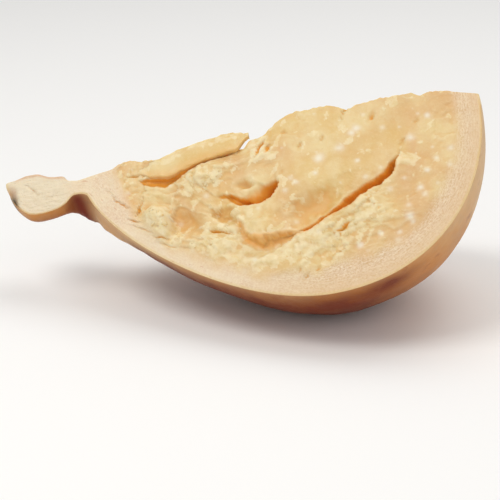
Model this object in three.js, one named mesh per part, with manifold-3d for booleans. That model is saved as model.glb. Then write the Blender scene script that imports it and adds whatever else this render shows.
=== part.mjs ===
// A quarter of an aged, pear-shaped stretched-curd cheese, lying on its rind. The whole cheese is
// a round body with a knob at its top and a neck that its hanging rope wore thin. Two lengthwise
// breaks, one on each side of the axis, leave a wedge with a front and a back face that meet in a
// ridge, and a natural rind underneath. Millimetres, +Z up, the knob towards -X, the front face
// towards -Y and up. The origin is the middle of the flat patch that the cheese lies on.
import * as THREE from "three";
import { mergeVertices } from "three/addons/utils/BufferGeometryUtils.js";
import { ImprovedNoise } from "three/addons/math/ImprovedNoise.js";
import Module from "manifold-3d";

// The whole cheese, measured along its axis from the middle of the neck.
const bodyLength = 215; // to the base of the body
const bellyPlace = 130.5; // to the widest section
const bellyRadius = 90.5;
const neckRadius = 11.5;
const grooveHalfWidth = 7.5; // from the middle of the neck to where the shoulder begins
const knobLength = 31; // from the groove to the tip of the knob
const knobRadius = 19.3;
const undersideSpread = THREE.MathUtils.degToRad(62); // reach of the out-of-round underside

// The wedge.
const wedgeAngle = THREE.MathUtils.degToRad(90); // between the two faces
const cutOffset = 8; // from the axis to each face, so the ridge stands above the axis
const rimWidth = 20; // band inside the rind that was cut smooth
const frontUnevenness = 2.4; // height of the front break's small humps and hollows
const backUnevenness = 4; // and of the back break's
const shardThickness = 6; // the long flake standing up at the ridge

// How it lies.
const restPitch = THREE.MathUtils.degToRad(14); // the knob end hangs lower than the base
const restFlat = 1.6; // depth of rind pressed flat by the cheese's own weight

// Mesh fineness.
const profileSteps = 11; // points on each curve of the profile
const turnSteps = 80; // facets round the axis
const frontCell = 3.5; // cell of the front face's relief
const backCell = 6.5; // cell of the back face's relief

const wasm = await Module();
wasm.setup();

// ---- small tools -------------------------------------------------------------------------------

function solidOf(geometry) {
  const bare = geometry.clone();
  bare.deleteAttribute("normal");
  bare.deleteAttribute("uv");
  const merged = mergeVertices(bare, 1e-4);
  const mesh = new wasm.Mesh({
    numProp: 3,
    vertProperties: new Float32Array(merged.attributes.position.array),
    triVerts: new Uint32Array(merged.index.array),
  });
  return new wasm.Manifold(mesh);
}

function geometryOf(solid) {
  const { numProp, vertProperties, triVerts } = solid.getMesh();
  const geometry = new THREE.BufferGeometry();
  const position = new THREE.BufferAttribute(vertProperties, numProp);
  geometry.setAttribute("position", position);
  geometry.setIndex(new THREE.BufferAttribute(triVerts, 1));
  geometry.computeVertexNormals();
  return geometry;
}

const { lerp, smoothstep } = THREE.MathUtils;
const noise = new ImprovedNoise();

// Height of a line through [place, height] points, at a place, held level past both its ends.
function heightAt(line, place) {
  const next = line.findIndex(([point]) => point > place);
  if (next === 0) return line[0][1];
  if (next < 0) return line.at(-1)[1];
  const [[fromPlace, fromHeight], [toPlace, toHeight]] = line.slice(next - 1, next + 1);
  const share = (place - fromPlace) / (toPlace - fromPlace);
  return lerp(fromHeight, toHeight, share);
}

// ---- the whole cheese --------------------------------------------------------------------------

const knobTip = -(grooveHalfWidth + knobLength);
const knobPlace = -(grooveHalfWidth + knobLength * 0.4); // the knob's widest section

// The outline from the knob's tip to the base, as points of (radius, place along the axis). Each
// curve leaves and meets its neighbours along the axis or square to it, so the outline is smooth.
function outline() {
  const shoulderRadius = neckRadius + grooveHalfWidth / 3;
  const shoulderSpan = bellyPlace - grooveHalfWidth;
  const path = new THREE.Path();
  path.moveTo(0, knobTip);
  path.bezierCurveTo(
    knobRadius * 0.75, knobTip,
    knobRadius, lerp(knobTip, knobPlace, 0.45),
    knobRadius, knobPlace,
  );
  path.bezierCurveTo(
    knobRadius, knobPlace + knobLength * 0.36,
    neckRadius, -grooveHalfWidth * 0.7,
    neckRadius, 0,
  );
  path.bezierCurveTo(
    neckRadius, grooveHalfWidth * 0.5,
    lerp(neckRadius, shoulderRadius, 0.1), grooveHalfWidth * 0.85,
    shoulderRadius, grooveHalfWidth,
  );
  path.bezierCurveTo(
    shoulderRadius + bellyRadius * 0.325, grooveHalfWidth + shoulderSpan * 0.13,
    bellyRadius, grooveHalfWidth + shoulderSpan * 0.62,
    bellyRadius, bellyPlace,
  );
  path.bezierCurveTo(
    bellyRadius, lerp(bellyPlace, bodyLength, 0.66),
    bellyRadius * 0.51, bodyLength,
    0, bodyLength,
  );
  return path.getPoints(profileSteps);
}

const outlinePoints = outline();
const radiusLine = outlinePoints.map(({ x: radius, y: place }) => [place, radius]);

// How much further from the axis the underside stands than the outline, as a share of its radius:
// the knob dried flat there and the neck sagged below the rope's groove.
const underside = [
  [knobTip, -0.35], [knobPlace, -0.48], [-grooveHalfWidth, -0.05], [0, 0.45],
  [grooveHalfWidth, 0.42], [2 * grooveHalfWidth, 0.2], [5 * grooveHalfWidth, 0],
];

// The cheese before it was broken, turned about the X axis, its underside towards -Z.
function wholeCheese() {
  const lathe = new THREE.LatheGeometry(outlinePoints, turnSteps).rotateZ(-Math.PI / 2);
  const { position } = lathe.attributes;
  for (let i = 0; i < position.count; i++) {
    const [x, y, z] = [position.getX(i), position.getY(i), position.getZ(i)];
    const fromUnder = Math.atan2(Math.abs(y), -z);
    const under = 1 - smoothstep(fromUnder, 0, undersideSpread);
    const stretch = 1 + under * heightAt(underside, x);
    position.setXYZ(i, x, y * stretch, z * stretch);
  }
  return solidOf(lathe);
}

// ---- the broken faces --------------------------------------------------------------------------
// A place on a face is [along, down]: along the axis as a share of the body's length from the
// neck, and away from the axis as a share of the belly's radius.

// Steps broken across the front face, each a line of places. The side nearer the axis stands
// `rise` above the line and fades back over `fade`; a crack `gap` wide and `depth` deep runs along.
const steps = [
  {
    name: "long crack",
    line: [[0.53, 0.61], [0.6, 0.53], [0.65, 0.47], [0.7, 0.375], [0.765, 0.32], [0.8, 0.2]],
    rise: 3.5, fade: 26, gap: 5.5, depth: 4.5,
  },
  {
    name: "middle ledge",
    line: [[0.33, 0.4], [0.4, 0.5], [0.43, 0.6], [0.46, 0.59], [0.56, 0.585]],
    rise: 5, fade: 14, gap: 5.5, depth: 1,
  },
  {
    name: "crack under the shard",
    line: [[0.14, 0.07], [0.23, 0.15], [0.3, 0.1], [0.38, 0.02]],
    rise: 2, fade: 12, gap: 4.5, depth: 2.5,
  },
];

// Rounded swells and pits on the front face, with their half sizes, turn and height.
const swells = [
  { name: "deep cavity", place: [0.475, 0.33], half: [12, 6], turn: -0.7, height: -9 },
  { name: "cavity's tail", place: [0.4, 0.3], half: [12, 5], turn: 0.2, height: -4.5 },
  { name: "glassy bowl", place: [0.58, 0.44], half: [13, 7], turn: -0.5, height: -4.5 },
  { name: "crumb mound", place: [0.21, 0.34], half: [8, 9], turn: 0, height: 4 },
  { name: "hollow beside it", place: [0.275, 0.43], half: [8, 6], turn: 0.3, height: -5 },
  { name: "smooth field", place: [0.66, 0.12], half: [50, 26], turn: -0.2, height: 2 },
  { name: "sunken left side", place: [0.22, 0.3], half: [36, 24], turn: 0.4, height: -2.5 },
];

// How far the ridge stands above its plain line, at shares of the body's length.
const ridgeRise = [
  [0.0, -8], [0.1, -6], [0.15, -2], [0.2, -4], [0.26, -3], [0.36, -4], [0.42, -9],
  [0.445, -5], [0.475, -5], [0.5, 0], [0.55, 5], [0.62, 5], [0.69, 0], [0.71, 2],
  [0.84, 2], [0.94, -1], [1.0, -6],
];
const knobRise = [[knobTip, -2], [knobPlace - 5, 1], [knobPlace + 6, -1], [0, -8]];

// Humps and hollows of a broken face, from -1 to 1, broad ones and smaller ones on top.
function humps(x, down, seed) {
  const [broad, small] = [19, 8];
  const swell = noise.noise(x / broad, down / broad, seed);
  return 0.8 * swell + 0.45 * noise.noise(x / small, down / small, seed + 0.5);
}

// How much of the break's unevenness a place has: none in the rim and none in the knob.
function broken(x, down) {
  const radius = heightAt(radiusLine, x);
  const rim = Math.sqrt(Math.max(radius ** 2 - cutOffset ** 2, 0));
  const inside = smoothstep(rim - Math.abs(down), rimWidth / 3, rimWidth);
  return inside * smoothstep(x, grooveHalfWidth, 5 * grooveHalfWidth);
}

function stepHeight(x, down, { line, rise, fade, gap, depth }) {
  const places = line.map(([along, share]) => [along * bodyLength, share * bellyRadius]);
  const [first, last] = [places[0][0], places.at(-1)[0]];
  const ends = smoothstep(x, first - gap, first + 3 * gap) * smoothstep(last - x, -gap, 3 * gap);
  const below = down - heightAt(places, x);
  const lift = rise * smoothstep(-below, 0, gap) * Math.exp(Math.min(below, 0) / fade);
  return ends * (lift - depth * Math.exp(-((below / gap) ** 2)));
}

function swellHeight(x, down, { place, half, turn, height }) {
  const [dx, dy] = [x - place[0] * bodyLength, down - place[1] * bellyRadius];
  const across = (dx * Math.cos(turn) + dy * Math.sin(turn)) / half[0];
  const along = (dy * Math.cos(turn) - dx * Math.sin(turn)) / half[1];
  return height * Math.exp(-((across ** 2 + along ** 2) ** 1.5));
}

function frontRelief(x, down) {
  const features =
    steps.reduce((sum, step) => sum + stepHeight(x, down, step), 0) +
    swells.reduce((sum, swell) => sum + swellHeight(x, down, swell), 0);
  return broken(x, down) * (features + frontUnevenness * humps(x, down, 0.3));
}

function backRelief(x, down) {
  const rise = x < 0 ? heightAt(knobRise, x) : heightAt(ridgeRise, x / bodyLength);
  const nearRidge = 1 - smoothstep(down, 0, bellyRadius / 2);
  return rise * nearRidge + broken(x, down) * backUnevenness * humps(x, down, 4.7);
}

// All that lies behind one broken face, as a block whose top is the face's relief. The face
// looks along +Z turned about the axis by `turn`, and `down` runs from the ridge to the rind.
function behindFace(relief, cell, turn, side) {
  const margin = 12;
  const length = bodyLength - knobTip + 2 * margin;
  const width = bellyRadius + 4 * margin;
  const depth = 2 * bellyRadius;
  const block = new THREE.BoxGeometry(
    length, width, depth, Math.round(length / cell), Math.round(width / cell), 1,
  );
  block.translate(knobTip - margin + length / 2, width / 2 - 3 * margin, 0);
  const { position } = block.attributes;
  for (let i = 0; i < position.count; i++) {
    const top = position.getZ(i) > 0;
    const height = top ? cutOffset + relief(position.getX(i), position.getY(i)) : -depth;
    position.setZ(i, height);
  }
  if (side < 0) block.scale(1, -1, 1).setIndex([...block.index.array].reverse());
  return solidOf(block.rotateX(turn));
}

// ---- the shard ---------------------------------------------------------------------------------

// A long flake of the front face that stands up at the ridge. Its free tip reaches over a notch
// in the ridge and its other end runs into the face.
function shard() {
  const at = (along, down) => new THREE.Vector2(along * bodyLength, -down * bellyRadius);
  const shape = new THREE.Shape([
    at(0.14, 0.02), at(0.18, 0.09), at(0.24, 0.12), at(0.3, 0.085), at(0.37, 0.02),
    at(0.41, -0.02), at(0.43, -0.06), at(0.426, -0.075), at(0.39, -0.085), at(0.33, -0.075),
    at(0.27, -0.06), at(0.23, -0.03), at(0.18, -0.04), at(0.14, -0.015),
  ]);
  const bevel = shardThickness / 3;
  const plate = new THREE.ExtrudeGeometry(shape, {
    depth: shardThickness - 2 * bevel, bevelThickness: bevel, bevelSize: bevel, bevelSegments: 2,
  });
  plate.translate(0, 0, cutOffset - shardThickness / 2);
  return solidOf(plate.rotateX(wedgeAngle / 2));
}

// ---- the piece ---------------------------------------------------------------------------------

function quarter() {
  const front = behindFace(frontRelief, frontCell, wedgeAngle / 2, -1);
  const back = behindFace(backRelief, backCell, -wedgeAngle / 2, 1);
  return wholeCheese().intersect(front).intersect(back).add(shard());
}

// Turns the piece to the way it lies and presses its lowest rind flat against the surface.
function layDown(piece) {
  const lying = geometryOf(piece).rotateY(-restPitch);
  lying.computeBoundingBox();
  lying.translate(0, 0, -lying.boundingBox.min.z - restFlat);
  const size = 3 * bodyLength;
  const above = new THREE.BoxGeometry(size, size, size).translate(0, 0, size / 2);
  const pressed = geometryOf(solidOf(lying).intersect(solidOf(above)));
  const patch = new THREE.Box3();
  const corner = new THREE.Vector3();
  const touching = 1e-3;
  const { position } = pressed.attributes;
  for (let i = 0; i < position.count; i++) {
    corner.fromBufferAttribute(position, i);
    if (corner.z < touching) patch.expandByPoint(corner);
  }
  const middle = patch.getCenter(new THREE.Vector3());
  return pressed.translate(-middle.x, -middle.y, 0);
}

const cheese = new THREE.Mesh(
  layDown(quarter()),
  new THREE.MeshStandardMaterial({ color: 0xe6ca92, roughness: 0.62, metalness: 0 }),
);
cheese.name = "cheese_quarter";

const part = new THREE.Group();
part.add(cheese);

export default part;
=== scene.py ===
"""A quarter of an aged pear-shaped cheese, lying on its rind.

The whole cheese is a round body with a knob at its thin end, which its hanging rope wore to a
neck. It was broken lengthwise, so a quarter has two broken faces that meet in a ridge, a smooth
band inside the rind, and the waxy rind itself underneath.

Shapes are worked out in millimetres in the cheese's own frame: X runs along the axis from the
middle of the neck to the base, Z points to the ridge, and a place on a broken face is given by
its distance along the axis and its distance down the face, away from the ridge. The last step
turns them to the way the cheese lies and into metres.
"""

import logging
import math
from collections.abc import Sequence
from dataclasses import dataclass, field, fields, replace
from enum import Enum

import bpy
import numpy as np
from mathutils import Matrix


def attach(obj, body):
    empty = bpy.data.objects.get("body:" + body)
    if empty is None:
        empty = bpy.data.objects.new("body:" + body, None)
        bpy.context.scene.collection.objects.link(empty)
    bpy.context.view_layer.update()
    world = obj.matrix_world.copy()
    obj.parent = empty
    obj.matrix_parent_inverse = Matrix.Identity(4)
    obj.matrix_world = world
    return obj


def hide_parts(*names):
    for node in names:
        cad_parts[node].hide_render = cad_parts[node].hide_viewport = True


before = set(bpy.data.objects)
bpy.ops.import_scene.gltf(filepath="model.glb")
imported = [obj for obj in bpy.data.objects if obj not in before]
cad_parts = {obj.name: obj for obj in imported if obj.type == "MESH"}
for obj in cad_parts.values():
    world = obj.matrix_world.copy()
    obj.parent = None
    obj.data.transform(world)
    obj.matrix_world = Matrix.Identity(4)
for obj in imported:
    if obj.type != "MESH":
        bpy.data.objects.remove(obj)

log = logging.getLogger("cheese")

METRES = 0.001  # one millimetre
REFRACTION = 1.45  # index of refraction of the paste and the rind
ROOT_BODY = "root"
CHEESE_NODE = "cheese_quarter"
DIAGONAL = math.sqrt(0.5)  # sine and cosine of the 45 degrees each face is turned by
FAR = 1e6  # further than any place
TINY = 1e-6  # keeps a division or a share off zero

Array = np.ndarray
Point = tuple[float, float]
Colour = tuple[float, float, float, float]


# ---- numbers and arrays ------------------------------------------------------------------------


def paint(red: int, green: int, blue: int) -> Colour:
    """Turns a colour as a paint chart gives it, 0 to 255, into the linear light a shader takes.

    Args:
        red: Red, 0 to 255.
        green: Green, 0 to 255.
        blue: Blue, 0 to 255.

    Returns:
        The linear colour, with full alpha.
    """
    shares = [channel / 255 for channel in (red, green, blue)]
    linear = [s / 12.92 if s <= 0.04045 else ((s + 0.055) / 1.055) ** 2.4 for s in shares]
    return (linear[0], linear[1], linear[2], 1.0)


def clipped(value: Array) -> Array:
    """The values held between 0 and 1."""
    return np.clip(value, 0.0, 1.0)


def columns(values: Array, count: int) -> Array:
    """A row of values as a grid, repeated in so many columns."""
    return np.repeat(values[:, None], count, 1)


def turned(x: Array, y: Array, turn: Point, scale: Point) -> tuple[Array, Array]:
    """Places turned about the origin, then scaled both ways, which draws round shapes out.

    Args:
        x: Places along one direction.
        y: Places along the other.
        turn: The cosine and the sine of the turn.
        scale: The two scales.

    Returns:
        The new places along both directions.
    """
    cos, sin = turn
    return scale[0] * (cos * x - sin * y), scale[1] * (sin * x + cos * y)


def ramp(low: float, high: float, value: Array) -> Array:
    """Rises smoothly from 0 at low to 1 at high: 3t squared less 2t cubed.

    Args:
        low: Where the rise starts.
        high: Where it ends; below low for a fall.
        value: The places.

    Returns:
        The shares, one for each place.
    """
    share = clipped((value - low) / (high - low))
    return share * share * (3 - 2 * share)


def bell(distance: Array, reach: float | Array) -> Array:
    """A bell curve: 1 at no distance, falling as e to the minus square of distance / reach."""
    return np.exp(-((distance / reach) ** 2))


def soft_line(points: Sequence[Point], at: Array, width: float) -> Array:
    """Heights of a line through points, its corners rounded off by a bell-shaped average.

    Args:
        points: (place, height) pairs in order.
        at: The places to read.
        width: How far the rounding reaches, in millimetres.

    Returns:
        The heights at those places, held level past both ends.
    """
    places, heights = np.array(points, float).T
    spacing = 0.25  # between the places the average is worked out at
    fine = np.arange(places[0] - 4 * width, places[-1] + 4 * width, spacing)
    reach = np.arange(-3 * width, 3 * width + spacing, spacing)
    weights = bell(reach, width)
    level = np.interp(fine, places, heights)
    padded = np.pad(level, len(reach) // 2, mode="edge")
    rounded = np.convolve(padded, weights / weights.sum(), mode="same")
    inner = rounded[len(reach) // 2 : len(reach) // 2 + len(fine)]
    return np.interp(at, fine, inner)


def averaged(grid: Array, reach: int) -> Array:
    """A grid with each value replaced by the mean of its neighbours, twice over.

    Args:
        grid: Values on a grid.
        reach: How many neighbours to each side count.

    Returns:
        The averaged grid.
    """
    window = 2 * reach + 1
    for _ in range(2):
        for axis in (0, 1):
            pad = [(0, 0), (0, 0)]
            pad[axis] = (reach + 1, reach)
            run = np.cumsum(np.pad(grid, pad, mode="edge"), axis)
            size = grid.shape[axis]
            late = np.take(run, np.arange(window, window + size), axis)
            grid = (late - np.take(run, np.arange(size), axis)) / window
    return grid


def bezier(ends: tuple[Point, Point], handles: tuple[Point, Point], count: int) -> Array:
    """Points on a cubic curve between two ends, drawn by two handles.

    Args:
        ends: The first and last point.
        handles: The two handles.
        count: How many points, both ends included.

    Returns:
        The points, one a row.
    """
    share = np.linspace(0, 1, count)[:, None]
    left = 1 - share
    (start, end), (first, second) = np.array(ends, float), np.array(handles, float)
    return (
        left**3 * start
        + 3 * left**2 * share * first
        + 3 * left * share**2 * second
        + share**3 * end
    )


class Chance:
    """Seeded, repeatable unevenness on a plane, for whole arrays of places at once."""

    TABLE = 256  # entries, after which it repeats
    VALUES = 5  # random values to an entry
    GAIN = 1.5  # brings the swells up to about 1
    SHIFT = 17.3  # keeps the corners of two layers apart

    def __init__(self, seed: int) -> None:
        """Draws the tables.

        Args:
            seed: Sets every value this source gives.
        """
        draw = np.random.default_rng(seed)
        self.order = draw.permutation(self.TABLE)
        turn = draw.uniform(0, 2 * math.pi, self.TABLE)
        self.slopes = np.stack([np.cos(turn), np.sin(turn)], -1)
        self.values = draw.uniform(0, 1, (self.TABLE, self.VALUES))

    def _pick(self, column: Array, row: Array) -> Array:
        """The table entry that belongs to each square of the plane."""
        return self.order[(self.order[column % self.TABLE] + row) % self.TABLE]

    def swell(self, x: Array, y: Array, size: float) -> Array:
        """Smooth hills and hollows of about one size.

        A random slope sits on each corner of a square grid, and the slopes' planes are blended
        by t cubed (6t squared less 15t plus 10) across each square.

        Args:
            x: Places along one direction.
            y: Places along the other.
            size: The grid's spacing, in the same unit.

        Returns:
            Heights, from about -1 to 1.
        """
        x, y = x / size, y / size
        column, row = np.floor(x).astype(int), np.floor(y).astype(int)
        dx, dy = x - column, y - row
        fade_x, fade_y = (t**3 * (t * (6 * t - 15) + 10) for t in (dx, dy))
        total = np.zeros_like(x)
        for i, j in ((0, 0), (1, 0), (0, 1), (1, 1)):
            slope = self.slopes[self._pick(column + i, row + j)]
            height = slope[..., 0] * (dx - i) + slope[..., 1] * (dy - j)
            weight = (fade_x if i else 1 - fade_x) * (fade_y if j else 1 - fade_y)
            total += weight * height
        return self.GAIN * total

    def layers(self, x: Array, y: Array, size: float, count: int = 4) -> Array:
        """Swells on swells, each layer half the size and about half the height of the last."""
        total = np.zeros_like(x)
        for layer in range(count):
            shift = self.SHIFT * layer
            total += 0.5**layer * self.swell(x + shift, y - shift, size / 2**layer)
        return total

    def strays(
        self, x: Array, y: Array, size: float, shifts: Point = (0, -90), count: int = 4
    ) -> tuple[Array, Array]:
        """Two unlike sets of layers, by which places stray in both directions.

        Args:
            x: Places along one direction.
            y: Places along the other.
            size: The size of the first layer.
            shifts: How far along x each of the two is read.
            count: How many layers.

        Returns:
            The way each place strays along x and along y, from about -1 to 1.
        """
        along, across = (self.layers(x + shift, y, size, count) for shift in shifts)
        return along, across

    def cells(self, x: Array, y: Array, size: float) -> tuple[Array, Array, Array, Array]:
        """The plane split into lumps: each place belongs to the nearest of a set of seeds.

        One seed sits at random in each square of a grid, and the nine squares round a place are
        searched.

        Args:
            x: Places along one direction.
            y: Places along the other.
            size: The grid's spacing, which is about the size of a lump.

        Returns:
            How far each place is from the border of its lump, the offset from the lump's seed
            along x and y, and the lump's own five random values.
        """
        x, y = x / size, y / size
        column, row = np.floor(x).astype(int), np.floor(y).astype(int)
        nearest = np.full(x.shape, FAR)
        second = np.full(x.shape, FAR)
        offset = np.zeros(x.shape + (2,))
        entry = np.zeros(x.shape, int)
        for i in (-1, 0, 1):
            for j in (-1, 0, 1):
                pick = self._pick(column + i, row + j)
                dx = x - (column + i + self.values[pick, 0])
                dy = y - (row + j + self.values[pick, 1])
                distance = np.hypot(dx, dy)
                closer = distance < nearest
                second = np.where(closer, nearest, np.minimum(second, distance))
                nearest = np.where(closer, distance, nearest)
                offset = np.where(closer[..., None], np.stack([dx, dy], -1), offset)
                entry = np.where(closer, pick, entry)
        border = (second - nearest) * size
        return border, offset[..., 0] * size, offset[..., 1] * size, self.values[entry]


# ---- the features of a broken face -------------------------------------------------------------


@dataclass(frozen=True)
class Reading:
    """Where places lie with respect to a line across a face."""

    distance: Array  # to the line, never negative
    below: Array  # the same, negative on the side nearer the ridge
    width: Array  # the line's own width at the nearest point
    depth: Array  # and its depth


@dataclass(frozen=True)
class Line:
    """A line across a face. Each point is (along, down, width, depth), in millimetres."""

    points: tuple[tuple[float, float, float, float], ...]

    def read(self, x: Array, down: Array) -> Reading:
        """Measures places against the line, stretch by stretch, keeping the nearest.

        Args:
            x: Distances along the axis.
            down: Distances down the face.

        Returns:
            The reading for each place.
        """
        best = np.full(x.shape, FAR)
        side = np.ones(x.shape)
        width = np.zeros(x.shape)
        depth = np.zeros(x.shape)
        for start, end in zip(self.points, self.points[1:]):
            run, drop = end[0] - start[0], end[1] - start[1]
            share = ((x - start[0]) * run + (down - start[1]) * drop) / (run**2 + drop**2)
            share = clipped(share)
            dx, dy = x - start[0] - share * run, down - start[1] - share * drop
            distance = np.hypot(dx, dy)
            closer = distance < best
            best = np.where(closer, distance, best)
            side = np.where(closer, np.sign(run * dy - drop * dx), side)
            width = np.where(closer, start[2] + share * (end[2] - start[2]), width)
            depth = np.where(closer, start[3] + share * (end[3] - start[3]), depth)
        return Reading(best, best * side, width, depth)


@dataclass(frozen=True)
class Crack:
    """A gap in the paste. The side nearer the ridge can stand proud of the other."""

    line: Line
    ragged: float = 1.0  # how far the gap wanders off its line
    lip: float = 0.0  # how far the upper side stands up at the gap
    lip_fade: float = 12.0  # how far from the gap the lip has lost two thirds of its height


@dataclass(frozen=True)
class Swelling:
    """A rounded hump, or a hollow where its height is negative."""

    along: float
    down: float
    half_long: float
    half_wide: float
    turn: float  # radians, from the axis towards the rind
    height: float
    power: float = 2.0  # 2 is a bell; more makes a flat middle and steeper sides

    def shape(self, x: Array, down: Array) -> Array:
        """How much of the swelling each place has: e to the minus (distance / half size)^power."""
        dx, dy = x - self.along, down - self.down
        long = (dx * math.cos(self.turn) + dy * math.sin(self.turn)) / self.half_long
        wide = (dy * math.cos(self.turn) - dx * math.sin(self.turn)) / self.half_wide
        return np.exp(-(np.hypot(long, wide) ** self.power))


@dataclass(frozen=True)
class Spot:
    """A small round feature, a hole or a crystal."""

    along: float
    down: float
    radius: float


def swellings(*rows: tuple[float, ...]) -> tuple[Swelling, ...]:
    """Swellings from rows of along, down, half long, half wide, turn, height and power."""
    return tuple(Swelling(*row) for row in rows)


def spots(*rows: tuple[float, float, float]) -> tuple[Spot, ...]:
    """Spots from rows of along, down and radius."""
    return tuple(Spot(*row) for row in rows)


def small_crack(ragged: float, *points: tuple[float, float, float, float]) -> Crack:
    """A crack without a lip, from how ragged it is and its line's points."""
    return Crack(Line(points), ragged)


def heaped(patches: tuple[Swelling, ...], x: Array, down: Array) -> Array:
    """The sum of swellings at each place, each its height times its shape."""
    return sum((patch.height * patch.shape(x, down) for patch in patches), np.zeros_like(x))


LONG_CRACK = Crack(
    Line((
        (172, 21, 0.3, 0.5), (169.3, 25.5, 1.5, 4), (166.6, 30, 3.8, 7), (163.6, 33.5, 4.0, 7),
        (158, 36.3, 3.5, 6.5), (151.3, 39, 4.0, 6.5), (146, 42.6, 4.8, 7), (140.3, 45.8, 4.2, 7),
        (135, 47.3, 3.0, 6.5), (128, 50, 2.3, 6), (119, 54.2, 1.2, 4.5),
    )),
    lip=3.0, lip_fade=22,
)
SHARD_CRACK = small_crack(
    0.6, (35.5, 7.4, 0.4, 1.5), (39, 8.2, 3.6, 3), (44, 9.8, 5.2, 3.6), (49, 10.9, 5.0, 3.8),
    (54, 10.2, 4.0, 3.6), (58, 8.4, 2.6, 3.4), (63, 6.6, 1.8, 3.4), (70.5, 4.4, 1.4, 3),
    (78, 2.9, 1.0, 2), (86, 2.0, 0.6, 1),
)
CAVITY_TAIL = Crack(
    Line(((77, 25.5, 0.8, 1.5), (83, 27.5, 2.2, 3.4), (88, 30.5, 2.4, 4.2), (93, 33.5, 2.0, 4.5))),
    lip=0.6, lip_fade=6,
)
CAVITY = Line((
    (86, 33, 1, 0.5), (91, 34.5, 1, 4), (97, 35, 1, 8), (103, 32.5, 1, 11), (107.8, 28, 1, 12),
    (108.9, 25.5, 1, 9), (108.4, 22.5, 1, 1),
))
LEDGE = Line((
    (76, 34, 1, 1), (84, 41, 1, 2), (88, 46, 1, 2.8), (92, 52, 1, 4), (98, 55.5, 1, 4.6),
    (105, 54, 1, 4.2), (112, 54.2, 1, 3.4), (120, 53, 1, 1),
))
SMALL_CRACKS = (
    small_crack(1.0, (71, 44.5, 0.6, 1.5), (75, 46, 1.5, 3), (82, 47.4, 0.5, 1)),
    small_crack(0.6, (29, 32, 0.3, 0.6), (36, 36, 0.7, 1.4), (43, 41, 0.3, 0.6)),
    small_crack(0.6, (42, 45, 0.3, 0.6), (50, 48.5, 0.7, 1.4), (60, 52, 0.3, 0.6)),
    small_crack(0.7, (37.2, 17.5, 0.4, 1), (34.4, 25, 1.3, 2.4), (32.7, 28, 0.4, 1)),
    small_crack(0.5, (29, 4, 0.3, 0.8), (32, 4.1, 0.9, 1.8), (34.7, 4.5, 0.3, 0.8)),
    small_crack(0.5, (28, 28.8, 0.3, 0.8), (31, 30, 0.9, 1.8), (34.8, 31.5, 0.3, 0.8)),
    small_crack(0.5, (41.2, 41.8, 0.3, 0.8), (45, 43, 0.9, 2), (49.4, 44.7, 0.3, 0.8)),
    small_crack(1.0, (98, 8, 0.5, 1), (101, 3, 1.6, 3), (104, -2, 0.5, 1)),
    small_crack(1.0, (133, 61, 0.4, 1), (139, 57, 1.4, 2), (144, 55, 0.4, 1)),
    small_crack(1.0, (148, -9, 0.9, 2), (146.5, -6, 0.9, 1.6), (145, -2.5, 0.3, 0.6)),
    small_crack(1.0, (175.5, 14, 0.3, 0.8), (174, 16.5, 0.8, 1.4), (172.5, 18, 0.3, 0.6)),
    small_crack(0.3, (-27, -3.5, 0.2, 0.8), (-24, 0, 0.5, 1.6), (-20.5, 4, 0.2, 0.8)),
    small_crack(
        1.6, (17.5, 9.5, 0.3, 0.5), (20.3, 14.5, 0.8, 1.2), (26, 20.6, 0.9, 1.4), (30, 23, 0.4, 0.8)
    ),
)
HOLES = spots(
    (118, 79, 1.1), (115, 75, 1.0), (124, 76, 1.0), (140, 57, 1.2), (137, 60, 1.0),
    (158, 51, 1.0), (160, -1, 1.3), (134, 5, 1.0), (122, 7, 1.0), (105, 5, 1.5), (63, 23, 0.9),
    (111, 20, 0.9), (182, 6, 0.9), (114, -2.5, 0.8), (-15, 7.2, 0.7), (-12.6, 6.4, 0.8),
    (-12, 4.4, 0.5), (-9.6, 5.2, 0.6),
)
FRONT_SWELLINGS = swellings(
    (125, 42, 15, 8, -0.45, -5.6, 2.6),  # glassy bowl
    (43, 36, 7.5, 10.5, 0.15, 6.4, 5.0),  # crumb mound
    (47, 30, 4, 4, 0.0, 1.6, 4.0),  # block on the mound
    (41, 43, 4.5, 3.5, 0.3, 1.2, 4.0),  # and one lower down
    (58.5, 38, 8.5, 6.5, 0.5, -5.0, 3.0),  # hollow beside it
    (99, 48, 6, 5, 0.0, 1.6, 3.0),  # block over the ledge
    (50, 27, 16, 6, 0.35, -1.8),  # sunken stretch under the flake
    (79, 36.5, 6.5, 3.6, 0.3, -4.4, 4.0),  # small hollow with a crumb in it
    (84.5, 37.5, 2.4, 1.8, 0.3, 3.6, 3.0),  # the crumb
    (145, 8, 46, 24, -0.2, 1.2),  # smooth golden field
    (70, 10, 14, 8, -0.2, 0.8),  # fibrous patch
    (67, 0, 26, 7, -0.12, -2.6, 3.0),  # bed that the flake lifted from
    (91.3, 21.8, 3.4, 2.4, 0.2, -3.2, 3.0),  # small hollow over the cavity's tail
    (28, 20, 18, 12, 0.5, -1.0),  # shallow dip towards the neck
    (104, 64, 22, 7, 0.0, -0.9),  # and one under the ledge
)
CRUMBLY = swellings(
    (45, 38, 15, 12, 0.6, 1.0, 3.0), (70, 15, 16, 7, -0.35, 0.8, 3.0),
    (99, 6, 10, 10, 0.0, 0.55, 3.0), (82, 45, 14, 9, 0.3, 0.8, 3.0),
    (122, 63, 46, 10, -0.12, 0.6, 3.0), (154, 46, 18, 9, -0.6, 0.45, 3.0),
    (60, 52, 26, 8, 0.35, 0.6, 3.0), (174, 26, 9, 9, 0.0, 0.5, 3.0),
)
CALM = swellings(
    (152, 4, 54, 27, -0.25, 1.0, 4.0), (178, 30, 22, 24, 0.9, 0.9, 3.0),
    (118, 26, 26, 10, -0.35, 0.9, 3.0), (125, 42, 13, 7, -0.45, 0.9, 3.0),
    (68, 29, 16, 7, 0.1, 0.8, 3.0), (92, 20, 12, 8, -0.3, 0.7, 3.0),
    (105, 47, 16, 7, 0.1, 0.7, 3.0),
)
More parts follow.
